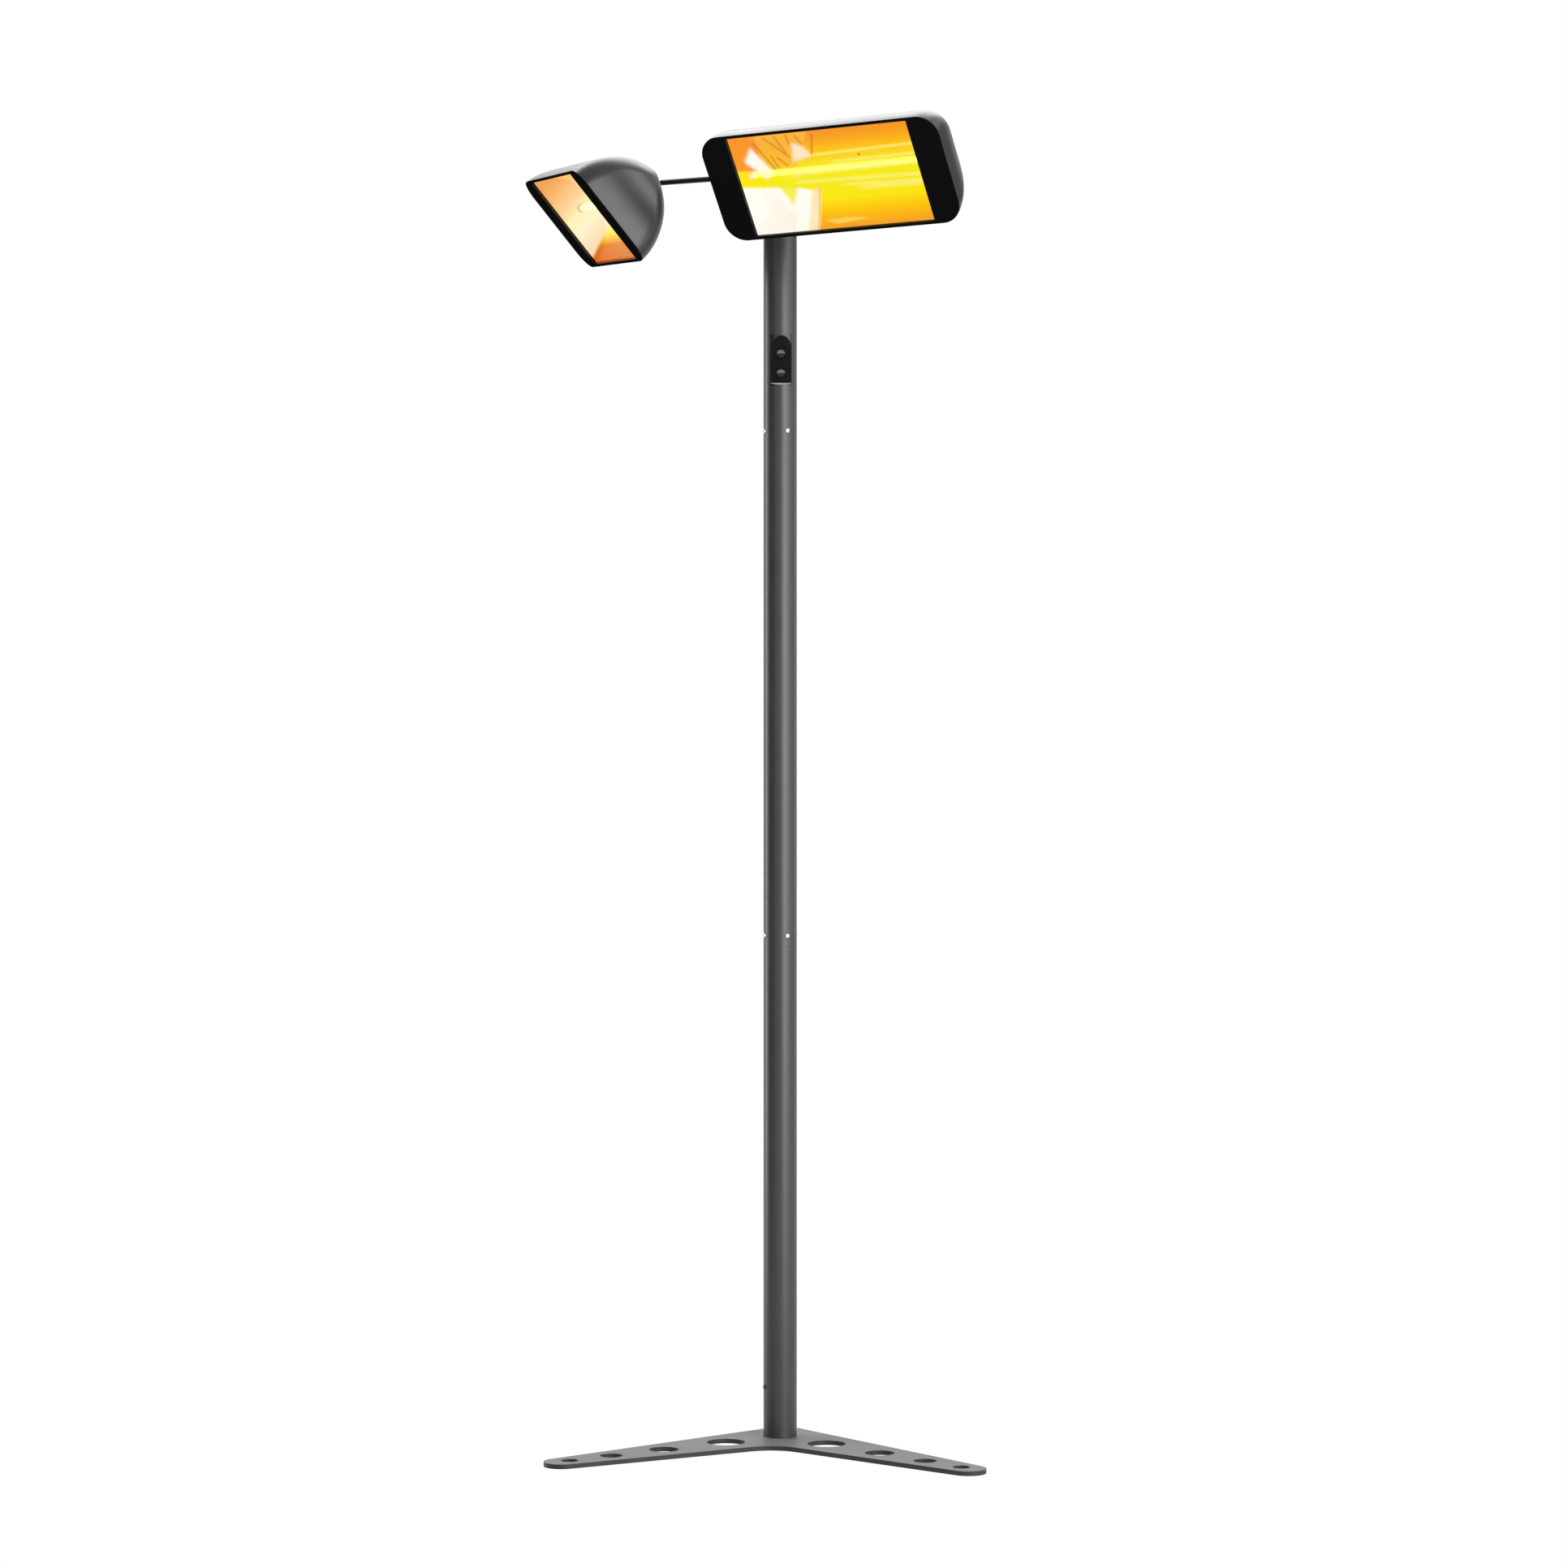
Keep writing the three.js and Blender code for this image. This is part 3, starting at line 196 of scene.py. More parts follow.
def hull(pieces):
    """One piece drawn tight round several."""
    take(*pieces)
    bpy.ops.object.join()
    bpy.ops.object.mode_set(mode="EDIT")
    bpy.ops.mesh.select_all(action="SELECT")
    bpy.ops.mesh.convex_hull()
    bpy.ops.mesh.dissolve_limited(angle_limit=math.radians(0.5))
    bpy.ops.object.mode_set(mode="OBJECT")
    return pieces[0]


def apply(piece, kind, **settings):
    modifier = piece.modifiers.new(kind, kind)
    for setting, value in settings.items():
        setattr(modifier, setting, value)
    take(piece)
    bpy.ops.object.modifier_apply(modifier=modifier.name)


def combine(piece, other, operation):
    apply(piece, "BOOLEAN", object=other, operation=operation, solver="EXACT")
    bpy.data.objects.remove(other, do_unlink=True)


def cut(piece, tool):
    combine(piece, tool, "DIFFERENCE")


def weld(piece, other):
    combine(piece, other, "UNION")


def ease_edges(piece, width, segments=3, angle=35):
    apply(piece, "BEVEL", width=width, segments=segments, limit_method="ANGLE",
          angle_limit=math.radians(angle), use_clamp_overlap=True)
    bpy.ops.object.shade_smooth_by_angle(angle=math.radians(40))
    apply(piece, "WEIGHTED_NORMAL", keep_sharp=True)


# Each arm of the V is drawn tight round a wide root, a small tip and a corner at the back. A
# web fills the front of the V, and is cut back to a large rounding.
plate_arm = math.radians(PLATE_ARM_ANGLE)
lean = math.acos((PLATE_ROOT - PLATE_TIP) / PLATE_REACH)
back_y = (PLATE_ROOT - BACK_ROUNDING) / math.sin(plate_arm + lean)
front_y = (PLATE_ROOT + FRONT_ROUNDING) / math.sin(plate_arm - lean)
plate_arms = []
for side in (1, -1):
    along = Vector((side * math.cos(plate_arm), math.sin(plate_arm)))
    plate_arms.append(hull([
        cylinder("floor_plate", PLATE_ROOT, 0, PLATE_THICKNESS, 160),
        cylinder("tip", PLATE_TIP, 0, PLATE_THICKNESS, 96, along * PLATE_REACH),
        cylinder("back", BACK_ROUNDING, 0, PLATE_THICKNESS, 96, (0, back_y))]))
touch_x = FRONT_ROUNDING * math.cos(plate_arm - lean)
touch_y = front_y - FRONT_ROUNDING * math.sin(plate_arm - lean)
web = hull([cylinder("web", 0.0005, 0, PLATE_THICKNESS, 4, spot)
            for spot in ((0, -0.03), (touch_x, touch_y), (-touch_x, touch_y))])
floor_plate = plate_arms[0]
weld(floor_plate, plate_arms[1])
weld(floor_plate, web)
cut(floor_plate, cylinder("front", FRONT_ROUNDING, CUT_LOW, CUT_HIGH, 192, (0, front_y)))
for side in (1, -1):
    for reach, radius in PLATE_HOLES:
        spot = (side * reach * math.cos(plate_arm), reach * math.sin(plate_arm))
        cut(floor_plate, cylinder("hole", radius, CUT_LOW, CUT_HIGH, 80, spot))
ease_edges(floor_plate, 0.0008)
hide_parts("base_plate")
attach(floor_plate, "stand")


def grain_group():
    """Fine texture of a coat or moulding: a height for bumps and a tone that varies over it."""
    group = bpy.data.node_groups.new("coat_grain", "ShaderNodeTree")
    for socket, value in (("Grain Scale", 900), ("Cloud Scale", 9)):
        given = group.interface.new_socket(socket, in_out="INPUT", socket_type="NodeSocketFloat")
        given.default_value = value
    for socket in ("Height", "Tone"):
        group.interface.new_socket(socket, in_out="OUTPUT", socket_type="NodeSocketFloat")
    given, put_out = add(group, "NodeGroupInput"), add(group, "NodeGroupOutput")
    place = add(group, "ShaderNodeTexCoord")
    fine = add(group, "ShaderNodeTexNoise", Detail=3)
    broad = add(group, "ShaderNodeTexNoise", Detail=5, Roughness=0.6)
    for noise, scale, result in ((fine, "Grain Scale", "Height"), (broad, "Cloud Scale", "Tone")):
        connect(group, (place.outputs["Object"], noise.inputs["Vector"]),
                (given.outputs[scale], noise.inputs["Scale"]),
                (noise.outputs["Fac"], put_out.inputs[result]))
    return group


COAT_GRAIN = grain_group()


def mix(tree, factor, below, above):
    """One colour over another by a factor. Each colour is plain or comes from a socket."""
    made = add(tree, "ShaderNodeMix")
    made.data_type = "RGBA"
    tree.links.new(factor, made.inputs["Factor"])
    for socket, colour in (("A", below), ("B", above)):
        if isinstance(colour, tuple):
            made.inputs[socket].default_value = (*colour, 1)
        else:
            tree.links.new(colour, made.inputs[socket])
    return made.outputs["Result"]


def coat(name, dark, light, smooth, rough, bump=0.1, grain=900, cloud=9, **fixed):
    """A paint or moulding whose colour and gloss drift softly over a fine grain."""
    made = material(name, **fixed)
    tree, surface = made.node_tree, made.node_tree.nodes["Principled BSDF"]
    pattern = add(tree, "ShaderNodeGroup")
    pattern.node_tree = COAT_GRAIN
    pattern.inputs["Grain Scale"].default_value = grain
    pattern.inputs["Cloud Scale"].default_value = cloud
    tone = pattern.outputs["Tone"]
    gloss = add(tree, "ShaderNodeMapRange", From_Min=0.3, From_Max=0.7, To_Min=smooth, To_Max=rough)
    relief = add(tree, "ShaderNodeBump", Strength=bump, Distance=0.0002)
    connect(tree, (mix(tree, tone, dark, light), surface.inputs["Base Color"]),
            (tone, gloss.inputs["Value"]),
            (gloss.outputs["Result"], surface.inputs["Roughness"]),
            (pattern.outputs["Height"], relief.inputs["Height"]),
            (relief.outputs["Normal"], surface.inputs["Normal"]))
    return made


def paint_light_by_facing(finish, low, high, down=None, up=None):
    """Paints light and shade by facing: faces that look down or sideways, or those that look up, get a
    colour of their own as painted shade or a painted highlight.
    """
    tree = finish.node_tree
    base = tree.nodes["Principled BSDF"].inputs["Base Color"]
    plain = base.links[0].from_socket
    facing, parts = add(tree, "ShaderNodeTexCoord"), add(tree, "ShaderNodeSeparateXYZ")
    rise = add(tree, "ShaderNodeMapRange", From_Min=low, From_Max=high)
    connect(tree, (facing.outputs["Normal"], parts.inputs["Vector"]),
            (parts.outputs["Z"], rise.inputs["Value"]),
            (mix(tree, rise.outputs["Result"], down or plain, up or plain), base))


def dress(piece, finish):
    piece.data.materials.clear()
    piece.data.materials.append(finish)
    for polygon in piece.data.polygons:
        polygon.material_index = 0


plate_coat = coat("plate_coat", (0.12, 0.12, 0.118), (0.16, 0.16, 0.157), 0.42, 0.52, 0.25,
                  specular=0.3)
# Painted shade: the plate's side faces, which look sideways, are painted darker than its top.
paint_light_by_facing(plate_coat, 0.35, 0.8, down=(0.022, 0.022, 0.024))
dress(floor_plate, plate_coat)

# ---- foot socket and sleeves -------------------------------------------------------------
# Short lengths of bare steel tube inside the post: one is welded to the floor plate, and two
# join the post's lengths. They are drawn tube, turned to fit, with a faint grain.
bare_steel = coat("bare_steel", (0.42, 0.42, 0.40), (0.56, 0.55, 0.53), 0.28, 0.42, 0.15, metallic=1.0)
for node in ("foot_socket", "lower_sleeve", "upper_sleeve"):
    dress(frame["nodes"][node], bare_steel)

# ---- post --------------------------------------------------------------------------------
# Three lengths of 60 mm round steel tube, one on the other, with a fine line at each joint.
# The ends are faced and chamfered, and the tube is powder-coated satin anthracite.
POST_RADIUS, POST_WALL = 0.030, 0.002
LOWER_SEAM, UPPER_SEAM, POST_TOP = 0.886, 1.789, 2.238
PANEL_TURN, PANEL_BOTTOM, PANEL_TOP, PANEL_HALF = 8.5, 1.890, 1.980, 0.0192
SLOT_CLEARANCE, INLET_RADIUS, INLET_HEIGHT = 0.0003, 0.0073, 0.160
FRONT_OF_PANEL, BACK_OF_PANEL = -0.04, -0.014


def box(name, x, y, z):
    """A block from its two limits along each axis."""
    bpy.ops.mesh.primitive_cube_add(size=1, location=(sum(x) / 2, sum(y) / 2, sum(z) / 2))
    bpy.context.object.scale = (x[1] - x[0], y[1] - y[0], z[1] - z[0])
    return settled(name)


def shift(x, y, z):
    return Matrix.Translation((x, y, z))


def rotate(degrees, axis):
    return Matrix.Rotation(math.radians(degrees), 4, axis)


def placed(piece, place):
    piece.data.transform(place)
    return piece


def post_length(name, low, high):
    piece = cylinder(name, POST_RADIUS, low, high, 144)
    cut(piece, cylinder("inside", POST_RADIUS - POST_WALL, low - 0.01, high + 0.01, 144))
    return piece


post_coat = coat("post_coat", (0.024, 0.025, 0.022), (0.034, 0.035, 0.031), 0.32, 0.38, 0.12,
                 specular=0.42)
lower_post = post_length("lower_post", PLATE_THICKNESS, LOWER_SEAM)
cut(lower_post, placed(cylinder("inlet", INLET_RADIUS, 0.02, 0.04, 32),
                       shift(0, 0, INLET_HEIGHT) @ rotate(-90, "X")))
middle_post = post_length("middle_post", LOWER_SEAM, UPPER_SEAM)
upper_post = post_length("upper_post", UPPER_SEAM, POST_TOP)
slot_half = PANEL_HALF + SLOT_CLEARANCE
cut(upper_post, placed(box("slot", (-slot_half, slot_half), (FRONT_OF_PANEL, BACK_OF_PANEL),
                           (PANEL_BOTTOM - SLOT_CLEARANCE, PANEL_TOP + SLOT_CLEARANCE)),
                       rotate(PANEL_TURN, "Z")))
for piece, node in ((lower_post, "lower_tube"), (middle_post, "middle_tube"),
                    (upper_post, "upper_tube")):
    ease_edges(piece, 0.0004, 2)
    dress(piece, post_coat)
    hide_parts(node)
    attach(piece, "stand")

# ---- post screws -------------------------------------------------------------------------
# M5 button-head screws hold the post to what is inside it. Each is a forged head with a
# six-sided recess; those at the joints are zinc-plated, the one at the foot is blackened.
SCREW_HEAD, SCREW_RISE, SCREW_SHAFT = 0.004, 0.0025, 0.0025
SCREWS_ABOVE_SEAM, FOOT_SCREW_HEIGHT, HUB_SCREW_DEPTH = 0.020, 0.098, 0.017
screw_zinc = coat("screw_zinc", (0.50, 0.50, 0.47), (0.66, 0.65, 0.62), 0.25, 0.4, metallic=1.0)
screw_black = coat("screw_black", (0.020, 0.020, 0.020), (0.035, 0.034, 0.033), 0.3, 0.45)


def pick(piece, test, kind="faces"):
    """In edit mode, selects the faces, edges or corners that pass the test, and nothing else."""
    mesh = bmesh.from_edit_mesh(piece.data)
    bpy.ops.mesh.select_mode(type={"faces": "FACE", "edges": "EDGE", "verts": "VERT"}[kind])
    bpy.ops.mesh.select_all(action="DESELECT")
    for part in getattr(mesh, kind):
        part.select_set(bool(test(part)))
    mesh.select_flush_mode()
    bmesh.update_edit_mesh(piece.data)


def round_top(piece, width, segments):
    """Rounds the rim of the upper end of a cylinder just made."""
    bpy.ops.object.mode_set(mode="EDIT")
    pick(piece, lambda face: face.normal.z > 0.9)
    bpy.ops.mesh.bevel(offset=width, segments=segments, affect="EDGES")
    bpy.ops.object.mode_set(mode="OBJECT")
    return piece


def button_screw(name, length):
    """The screw's head sits on z = 0 and its shaft points down."""
    piece = round_top(cylinder(name, SCREW_HEAD, 0, SCREW_RISE, 32), SCREW_RISE * 0.62, 4)
    cut(piece, cylinder("recess", SCREW_HEAD * 0.42, SCREW_RISE * 0.35, SCREW_RISE * 2, 6))
    weld(piece, cylinder("shaft", SCREW_SHAFT, -length, SCREW_RISE * 0.2, 24))
    ease_edges(piece, 0.00015, 1)
    return piece


def copy_of(piece, name, place):
    made = bpy.data.objects.new(name, piece.data.copy())
    made.data.name = name
    scene.collection.objects.link(made)
    return placed(made, place)


def out_of_post(turn, height):
    """From z upwards to straight out of the post, turned from the front towards the right."""
    return shift(0, 0, height) @ rotate(turn, "Z") @ rotate(90, "X")


post_screw = button_screw("post_screw", 0.0058)
hub_screw = button_screw("hub_bolt", 0.0040)
spots = [("foot_screw", -60, FOOT_SCREW_HEIGHT, post_screw, screw_black, "dark_screw"),
         ("hub_screw", 180, POST_TOP - HUB_SCREW_DEPTH, hub_screw, screw_zinc, "screw_steel")]
for seam, height in (("lower", LOWER_SEAM), ("upper", UPPER_SEAM)):
    for count in range(4):
        spots.append((f"{seam}_seam_screw_{count + 1}", 30 + 90 * count, height + SCREWS_ABOVE_SEAM,
                      post_screw, screw_zinc, "screw_steel"))
for node, turn, height, pattern, finish, slot in spots:
    screw = copy_of(pattern, f"{node}_piece",
                    out_of_post(turn, height) @ shift(0, 0, POST_RADIUS + 0.0001))
    dress(screw, finish)
    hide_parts(node)
    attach(screw, "stand")
for pattern in (post_screw, hub_screw):
    bpy.data.objects.remove(pattern, do_unlink=True)

# ---- cable inlet -------------------------------------------------------------------------
# A rubber bush in the back of the foot, with a lip inside and outside the tube's wall. It is
# moulded in one piece and pushed in from outside.
rubber = coat("rubber", (0.018, 0.018, 0.018), (0.030, 0.030, 0.029), 0.6, 0.75, 0.3, grain=500)


def drawn(name, corners, edges, faces):
    """A new piece from its corners, open for editing with all of it selected."""
    mesh = bpy.data.meshes.new(name)
    mesh.from_pydata(corners, edges, faces)
    piece = bpy.data.objects.new(name, mesh)
    scene.collection.objects.link(piece)
    take(piece)
    bpy.ops.object.mode_set(mode="EDIT")
    bpy.ops.mesh.select_all(action="SELECT")
    return piece


def close_edit():
    """Ends an edit with no doubled corners and every face looking outwards."""
    bpy.ops.mesh.select_all(action="SELECT")
    bpy.ops.mesh.remove_doubles(threshold=0.00001)
    bpy.ops.mesh.normals_make_consistent(inside=False)
    bpy.ops.object.mode_set(mode="OBJECT")


# The bush is turned on the z axis from its closed profile of (radius, height).
BUSH_PROFILE = [(0.004, 0.0235), (0.009, 0.0235), (0.009, 0.0257), (0.007, 0.0257), (0.007, 0.0303),
                (0.010, 0.0303), (0.0098, 0.0312), (0.008, 0.0325), (0.004, 0.0325)]
corners = len(BUSH_PROFILE)
bush = drawn("inlet_bush", [(radius, 0, height) for radius, height in BUSH_PROFILE],
             [(corner, (corner + 1) % corners) for corner in range(corners)], [])
bpy.ops.mesh.spin(steps=48, angle=math.tau, center=(0, 0, 0), axis=(0, 0, 1))
close_edit()
ease_edges(bush, 0.0003, 2)
placed(bush, out_of_post(180, INLET_HEIGHT))
dress(bush, rubber)
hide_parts("cable_inlet_bush")
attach(bush, "stand")

# ---- switch panel ------------------------------------------------------------------------
# A black moulding set flush into the slot in the upper tube. Its front is scooped to a flat
# between two slopes, the upper one arched, and two round holes take the switches.
PANEL_FLAT, PANEL_WALL = -0.0228, 0.003
SWITCHES = {"upper": 1.946, "lower": 1.911}
SWITCH_HOLE = 0.0099
SCOOP = [(PANEL_FLAT, PANEL_BOTTOM + 0.0045), (PANEL_FLAT, PANEL_TOP - 0.016),
         (-0.032, PANEL_TOP + 0.00368), (-0.032, PANEL_BOTTOM - 0.00048)]


def in_panel(piece, height):
    """A cylinder drawn on z is laid along y, with its z = 0 on the panel's flat."""
    return placed(piece, shift(0, PANEL_FLAT, height) @ rotate(90, "X"))


def profile_bar(name, outline, half_length):
    """A bar along x from its outline of (y, z) corners."""
    bar = drawn(name, [(-half_length, y, z) for y, z in outline], [], [range(len(outline))])
    bpy.ops.mesh.extrude_region_move(TRANSFORM_OT_translate={"value": (2 * half_length, 0, 0)})
    close_edit()
    return bar


panel = cylinder("panel", POST_RADIUS, PANEL_BOTTOM, PANEL_TOP, 144)
combine(panel, box("sides", (-PANEL_HALF, PANEL_HALF), (FRONT_OF_PANEL, BACK_OF_PANEL), (1.8, 2.1)),
        "INTERSECT")
cut(panel, profile_bar("scoop", SCOOP, 0.04))
cut(panel, box("hollow", (-0.0162, 0.0162), (PANEL_FLAT + PANEL_WALL, -0.012), (1.8975, 1.961)))
for height in SWITCHES.values():
    cut(panel, in_panel(cylinder("hole", SWITCH_HOLE, -0.01, 0.01, 64), height))
ease_edges(panel, 0.0005, 2)
placed(panel, rotate(PANEL_TURN, "Z"))

# The slope under the switches looks up, and gets a painted highlight there, as a ledge that catches
# the light would show. The rim, which lies in the post's own curve, has a coat of gloss.
panel_black = coat("panel_black", (0.004, 0.004, 0.004), (0.007, 0.007, 0.007), 0.3, 0.4, 0.15,
                   grain=700, specular=0.04, Coat_Roughness=0.35)
paint_light_by_facing(panel_black, 0.6, 0.8, up=(0.5, 0.5, 0.49))
tree = panel_black.node_tree
spot, level_spot = add(tree, "ShaderNodeTexCoord"), add(tree, "ShaderNodeVectorMath", "MULTIPLY")
level_spot.inputs[1].default_value = (1, 1, 0)
from_axis = add(tree, "ShaderNodeVectorMath", "LENGTH")
rim = add(tree, "ShaderNodeMapRange", From_Min=POST_RADIUS - 0.0005, From_Max=POST_RADIUS - 0.0002)
connect(tree, (spot.outputs["Object"], level_spot.inputs[0]),
        (level_spot.outputs["Vector"], from_axis.inputs[0]),
        (from_axis.outputs["Value"], rim.inputs["Value"]),
        (rim.outputs["Result"], tree.nodes["Principled BSDF"].inputs["Coat Weight"]))
dress(panel, panel_black)
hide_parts("switch_panel")
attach(panel, "stand")

# ---- switches ----------------------------------------------------------------------------
# Two round snap-in rocker switches. Each is a black nylon body with a flange, an open pocket
# and a rocker on two pins. The rocker's face rises to a ridge across its middle.
FLANGE_RADIUS, BARREL_RADIUS, POCKET_RADIUS = 0.011, 0.0096, 0.0082
ROCKER_RADIUS, PIN_RADIUS, PIN_DEPTH, ROCKER_REST = 0.0073, 0.0012, 0.0012, -8
RIDGE, BACK_OF_ROCKER = 0.0058, -0.0034
ROCKER_PROFILE = [(0, RIDGE), (0.0073, 0.0036), (0.0044, BACK_OF_ROCKER),
                  (-0.0044, BACK_OF_ROCKER), (-0.0073, 0.0036)]
switch_black = coat("switch_black", (0.004, 0.004, 0.004), (0.007, 0.007, 0.007), 0.3, 0.4, 0.15,
                    grain=800, specular=0.05)
rocker_black = coat("rocker_black", (0.006, 0.006, 0.006), (0.010, 0.010, 0.010), 0.24, 0.32,
                    grain=800, specular=0.2)
# Painted highlight: the rockers' halves that look up are painted lighter than the rest.
paint_light_by_facing(rocker_black, 0.25, 0.38, up=(0.13, 0.13, 0.128))
for name, height in SWITCHES.items():
    body = in_panel(cylinder(f"{name}_switch", FLANGE_RADIUS, 0.0003, 0.0019, 64), height)
    weld(body, in_panel(cylinder("barrel", BARREL_RADIUS, -0.0137, 0.001, 64), height))
    cut(body, in_panel(cylinder("pocket", POCKET_RADIUS, -0.0071, 0.004, 64), height))
    ease_edges(body, 0.0004, 3)
    placed(body, rotate(PANEL_TURN, "Z"))
    dress(body, switch_black)
    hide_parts(f"{name}_switch_body")
    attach(body, "stand")
    rocker = cylinder(f"{name}_rocker_piece", ROCKER_RADIUS, BACK_OF_ROCKER, RIDGE, 64)
    combine(rocker, profile_bar("crown", ROCKER_PROFILE, 0.01), "INTERSECT")
    weld(rocker, placed(cylinder("pin", PIN_RADIUS, -BARREL_RADIUS, BARREL_RADIUS, 20), rotate(90, "Y")))
    ease_edges(rocker, 0.0004, 3, 12)
    placed(rocker, rotate(PANEL_TURN, "Z") @ shift(0, PANEL_FLAT + PIN_DEPTH, height)
           @ rotate(ROCKER_REST, "X") @ rotate(90, "X"))
    dress(rocker, rocker_black)
    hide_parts(f"{name}_rocker")
    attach(rocker, f"{name}_rocker")

# ---- hub ---------------------------------------------------------------------------------
# A turned aluminium cap on the post with a rounded top and a spigot inside the tube. Two
# round bosses take the arms, and the cap is powder-coated like the post.
HUB_HEIGHT, ARM_RISE = 0.052, 0.034
ARM_TURN = {"left": 160.7, "right": -48.5}
BOSS_RADIUS, BOSS_START, BOSS_END = 0.011, 0.016, 0.048
ARM_BORE, SET_SCREW_HOLE, SET_SCREW_REACH = 0.0053, 0.0028, 0.040
SPIGOT_RADIUS, SPIGOT_LENGTH = 0.0277, 0.040


def at_arm(side):
    """The root of an arm on the post's axis, with x along the arm."""
    return shift(0, 0, POST_TOP + ARM_RISE) @ rotate(ARM_TURN[side], "Z")


hub = round_top(cylinder("hub_cap", POST_RADIUS, POST_TOP + 0.0003, POST_TOP + HUB_HEIGHT, 144), 0.008, 8)
for side in ARM_TURN:
    along_arm = at_arm(side) @ rotate(90, "Y")
    boss = round_top(cylinder("boss", BOSS_RADIUS, BOSS_START, BOSS_END, 64), 0.0015, 3)
    weld(hub, placed(boss, along_arm))
    cut(hub, placed(cylinder("bore", ARM_BORE, 0.0, 0.06, 40), along_arm))
    cut(hub, placed(cylinder("pinch", SET_SCREW_HOLE, 0, 0.02, 24),
                    at_arm(side) @ shift(SET_SCREW_REACH, 0, 0)))
weld(hub, cylinder("spigot", SPIGOT_RADIUS, POST_TOP - SPIGOT_LENGTH, POST_TOP + 0.002, 96))
ease_edges(hub, 0.0004, 2, 50)
dress(hub, post_coat)
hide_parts("hub")
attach(hub, "hub")

# ---- arms and their screws ---------------------------------------------------------------
# Each arm is a 10 mm steel tube whose outer end is pressed to a flat round tongue for the
# swivel bolt. A set screw in the boss holds it. The tube is powder-coated black.
ARM_RADIUS, ARM_START, ARM_REACH = 0.005, 0.015, 0.251
TONGUE_HALF, EYE_RADIUS, LEAD_HOLE = 0.003, 0.008, 0.002
ARM_TWIST = {"left": -7.6, "right": 1.7}
arm_black = coat("arm_black", (0.004, 0.004, 0.004), (0.007, 0.007, 0.007), 0.3, 0.4, 0.15,
                 specular=0.2)
for side in ARM_TURN:
    arm = cylinder(f"{side}_arm_piece", ARM_RADIUS, ARM_START, ARM_REACH - 0.013, 48)
    weld(arm, box("tongue", (-TONGUE_HALF, TONGUE_HALF), (-0.0045, 0.0045),
                  (ARM_REACH - 0.020, ARM_REACH)))
    weld(arm, placed(cylinder("eye", EYE_RADIUS, -TONGUE_HALF, TONGUE_HALF, 48),
                     shift(0, 0, ARM_REACH) @ rotate(90, "Y")))
    cut(arm, placed(cylinder("lead_hole", LEAD_HOLE, 0, 0.01, 20),
                    shift(0, 0, ARM_REACH - 0.047) @ rotate(90, "Y")))
    ease_edges(arm, 0.0004, 2)
    placed(arm, at_arm(side) @ rotate(ARM_TWIST[side], "X") @ rotate(90, "Y"))
    dress(arm, arm_black)
    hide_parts(f"{side}_arm")
    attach(arm, f"{side}_arm")
    dress(frame["nodes"][f"{side}_arm_screw"], screw_zinc)

# ---- knuckles, yokes and their bolts -----------------------------------------------------
# At the end of each arm a knuckle turns on the swivel bolt, and the yoke on the head's back
# tilts on a second bolt through the knuckle's lug. Both are pressed steel, coated black, with
# blackened bolts and zinc-plated yoke screws.
def worked_copy(node, name, width):
    """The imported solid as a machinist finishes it: its doubles merged and its edges broken."""
    piece = copy_of(frame["nodes"][node], name, Matrix.Identity(4))
    take(piece)
    bpy.ops.object.mode_set(mode="EDIT")
    bpy.ops.mesh.select_all(action="SELECT")
    bpy.ops.mesh.remove_doubles(threshold=0.00002)
    bpy.ops.mesh.dissolve_limited(angle_limit=math.radians(0.5))
    bpy.ops.object.mode_set(mode="OBJECT")
    ease_edges(piece, width, 2)
    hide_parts(node)
    return piece


for side in ARM_TURN:
    for part, body, finish, slot in (
            ("knuckle", "knuckle", arm_black, "black_steel"),
            ("swivel_bolt", "knuckle", screw_black, "black_steel"),
            ("yoke", "head", arm_black, "black_steel"),
            ("tilt_bolt", "head", screw_black, "black_steel"),
            ("tilt_nut", "head", screw_black, "black_steel"),
            ("yoke_screw_1", "head", screw_zinc, "screw_steel"),
            ("yoke_screw_2", "head", screw_zinc, "screw_steel")):
        piece = worked_copy(f"{side}_{part}", f"{side}_{part}_piece", 0.0003)
        dress(piece, finish)
        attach(piece, f"{side}_{body}")

# ---- head shells -------------------------------------------------------------------------
# Each head is a deep-drawn aluminium shell: a rounded rectangle at the front that closes to
# the back in a D-shaped curve, with domed ends. It is sprayed dark grey, semi-gloss.
HEAD_LENGTH, HEAD_HEIGHT, HEAD_DEPTH = 0.450, 0.200, 0.1295
HEAD_CORNER, SHELL_WALL, BEZEL = 0.037, 0.0025, 0.003
END_DOME, SECTION_POWER = 0.080, 1.7
SHELL_RINGS, SHELL_SWEEP = 26, math.radians(87.5)
TILT_AXIS_BACK, TILT_AXIS_DOWN = 0.007, 0.022
joints = {joint["name"]: joint for joint in frame["joints"]}


def head_place(side):
    """From the head's own frame (x along the lamp, y backwards, z up the face) to the tower."""
    tilt, swivel = joints[f"{side}_head_tilt"], joints[f"{side}_head_swivel"]
    x = Vector(tilt["axis"]).normalized()
    upright = Vector(swivel["axis"]).normalized()
    level_back = upright.cross(x)
    angle = -math.radians(tilt["range_deg"][0])
    y = math.cos(angle) * level_back + math.sin(angle) * upright
    z = -math.sin(angle) * level_back + math.cos(angle) * upright
    facing = Matrix((x, y, z)).transposed()
    origin = Vector(tilt["pos_m"]) + facing @ Vector((0, -(HEAD_DEPTH + TILT_AXIS_BACK), TILT_AXIS_DOWN))
    return Matrix.Translation(origin) @ facing.to_4x4()


HEAD_PLACE = {side: head_place(side) for side in ARM_TURN}


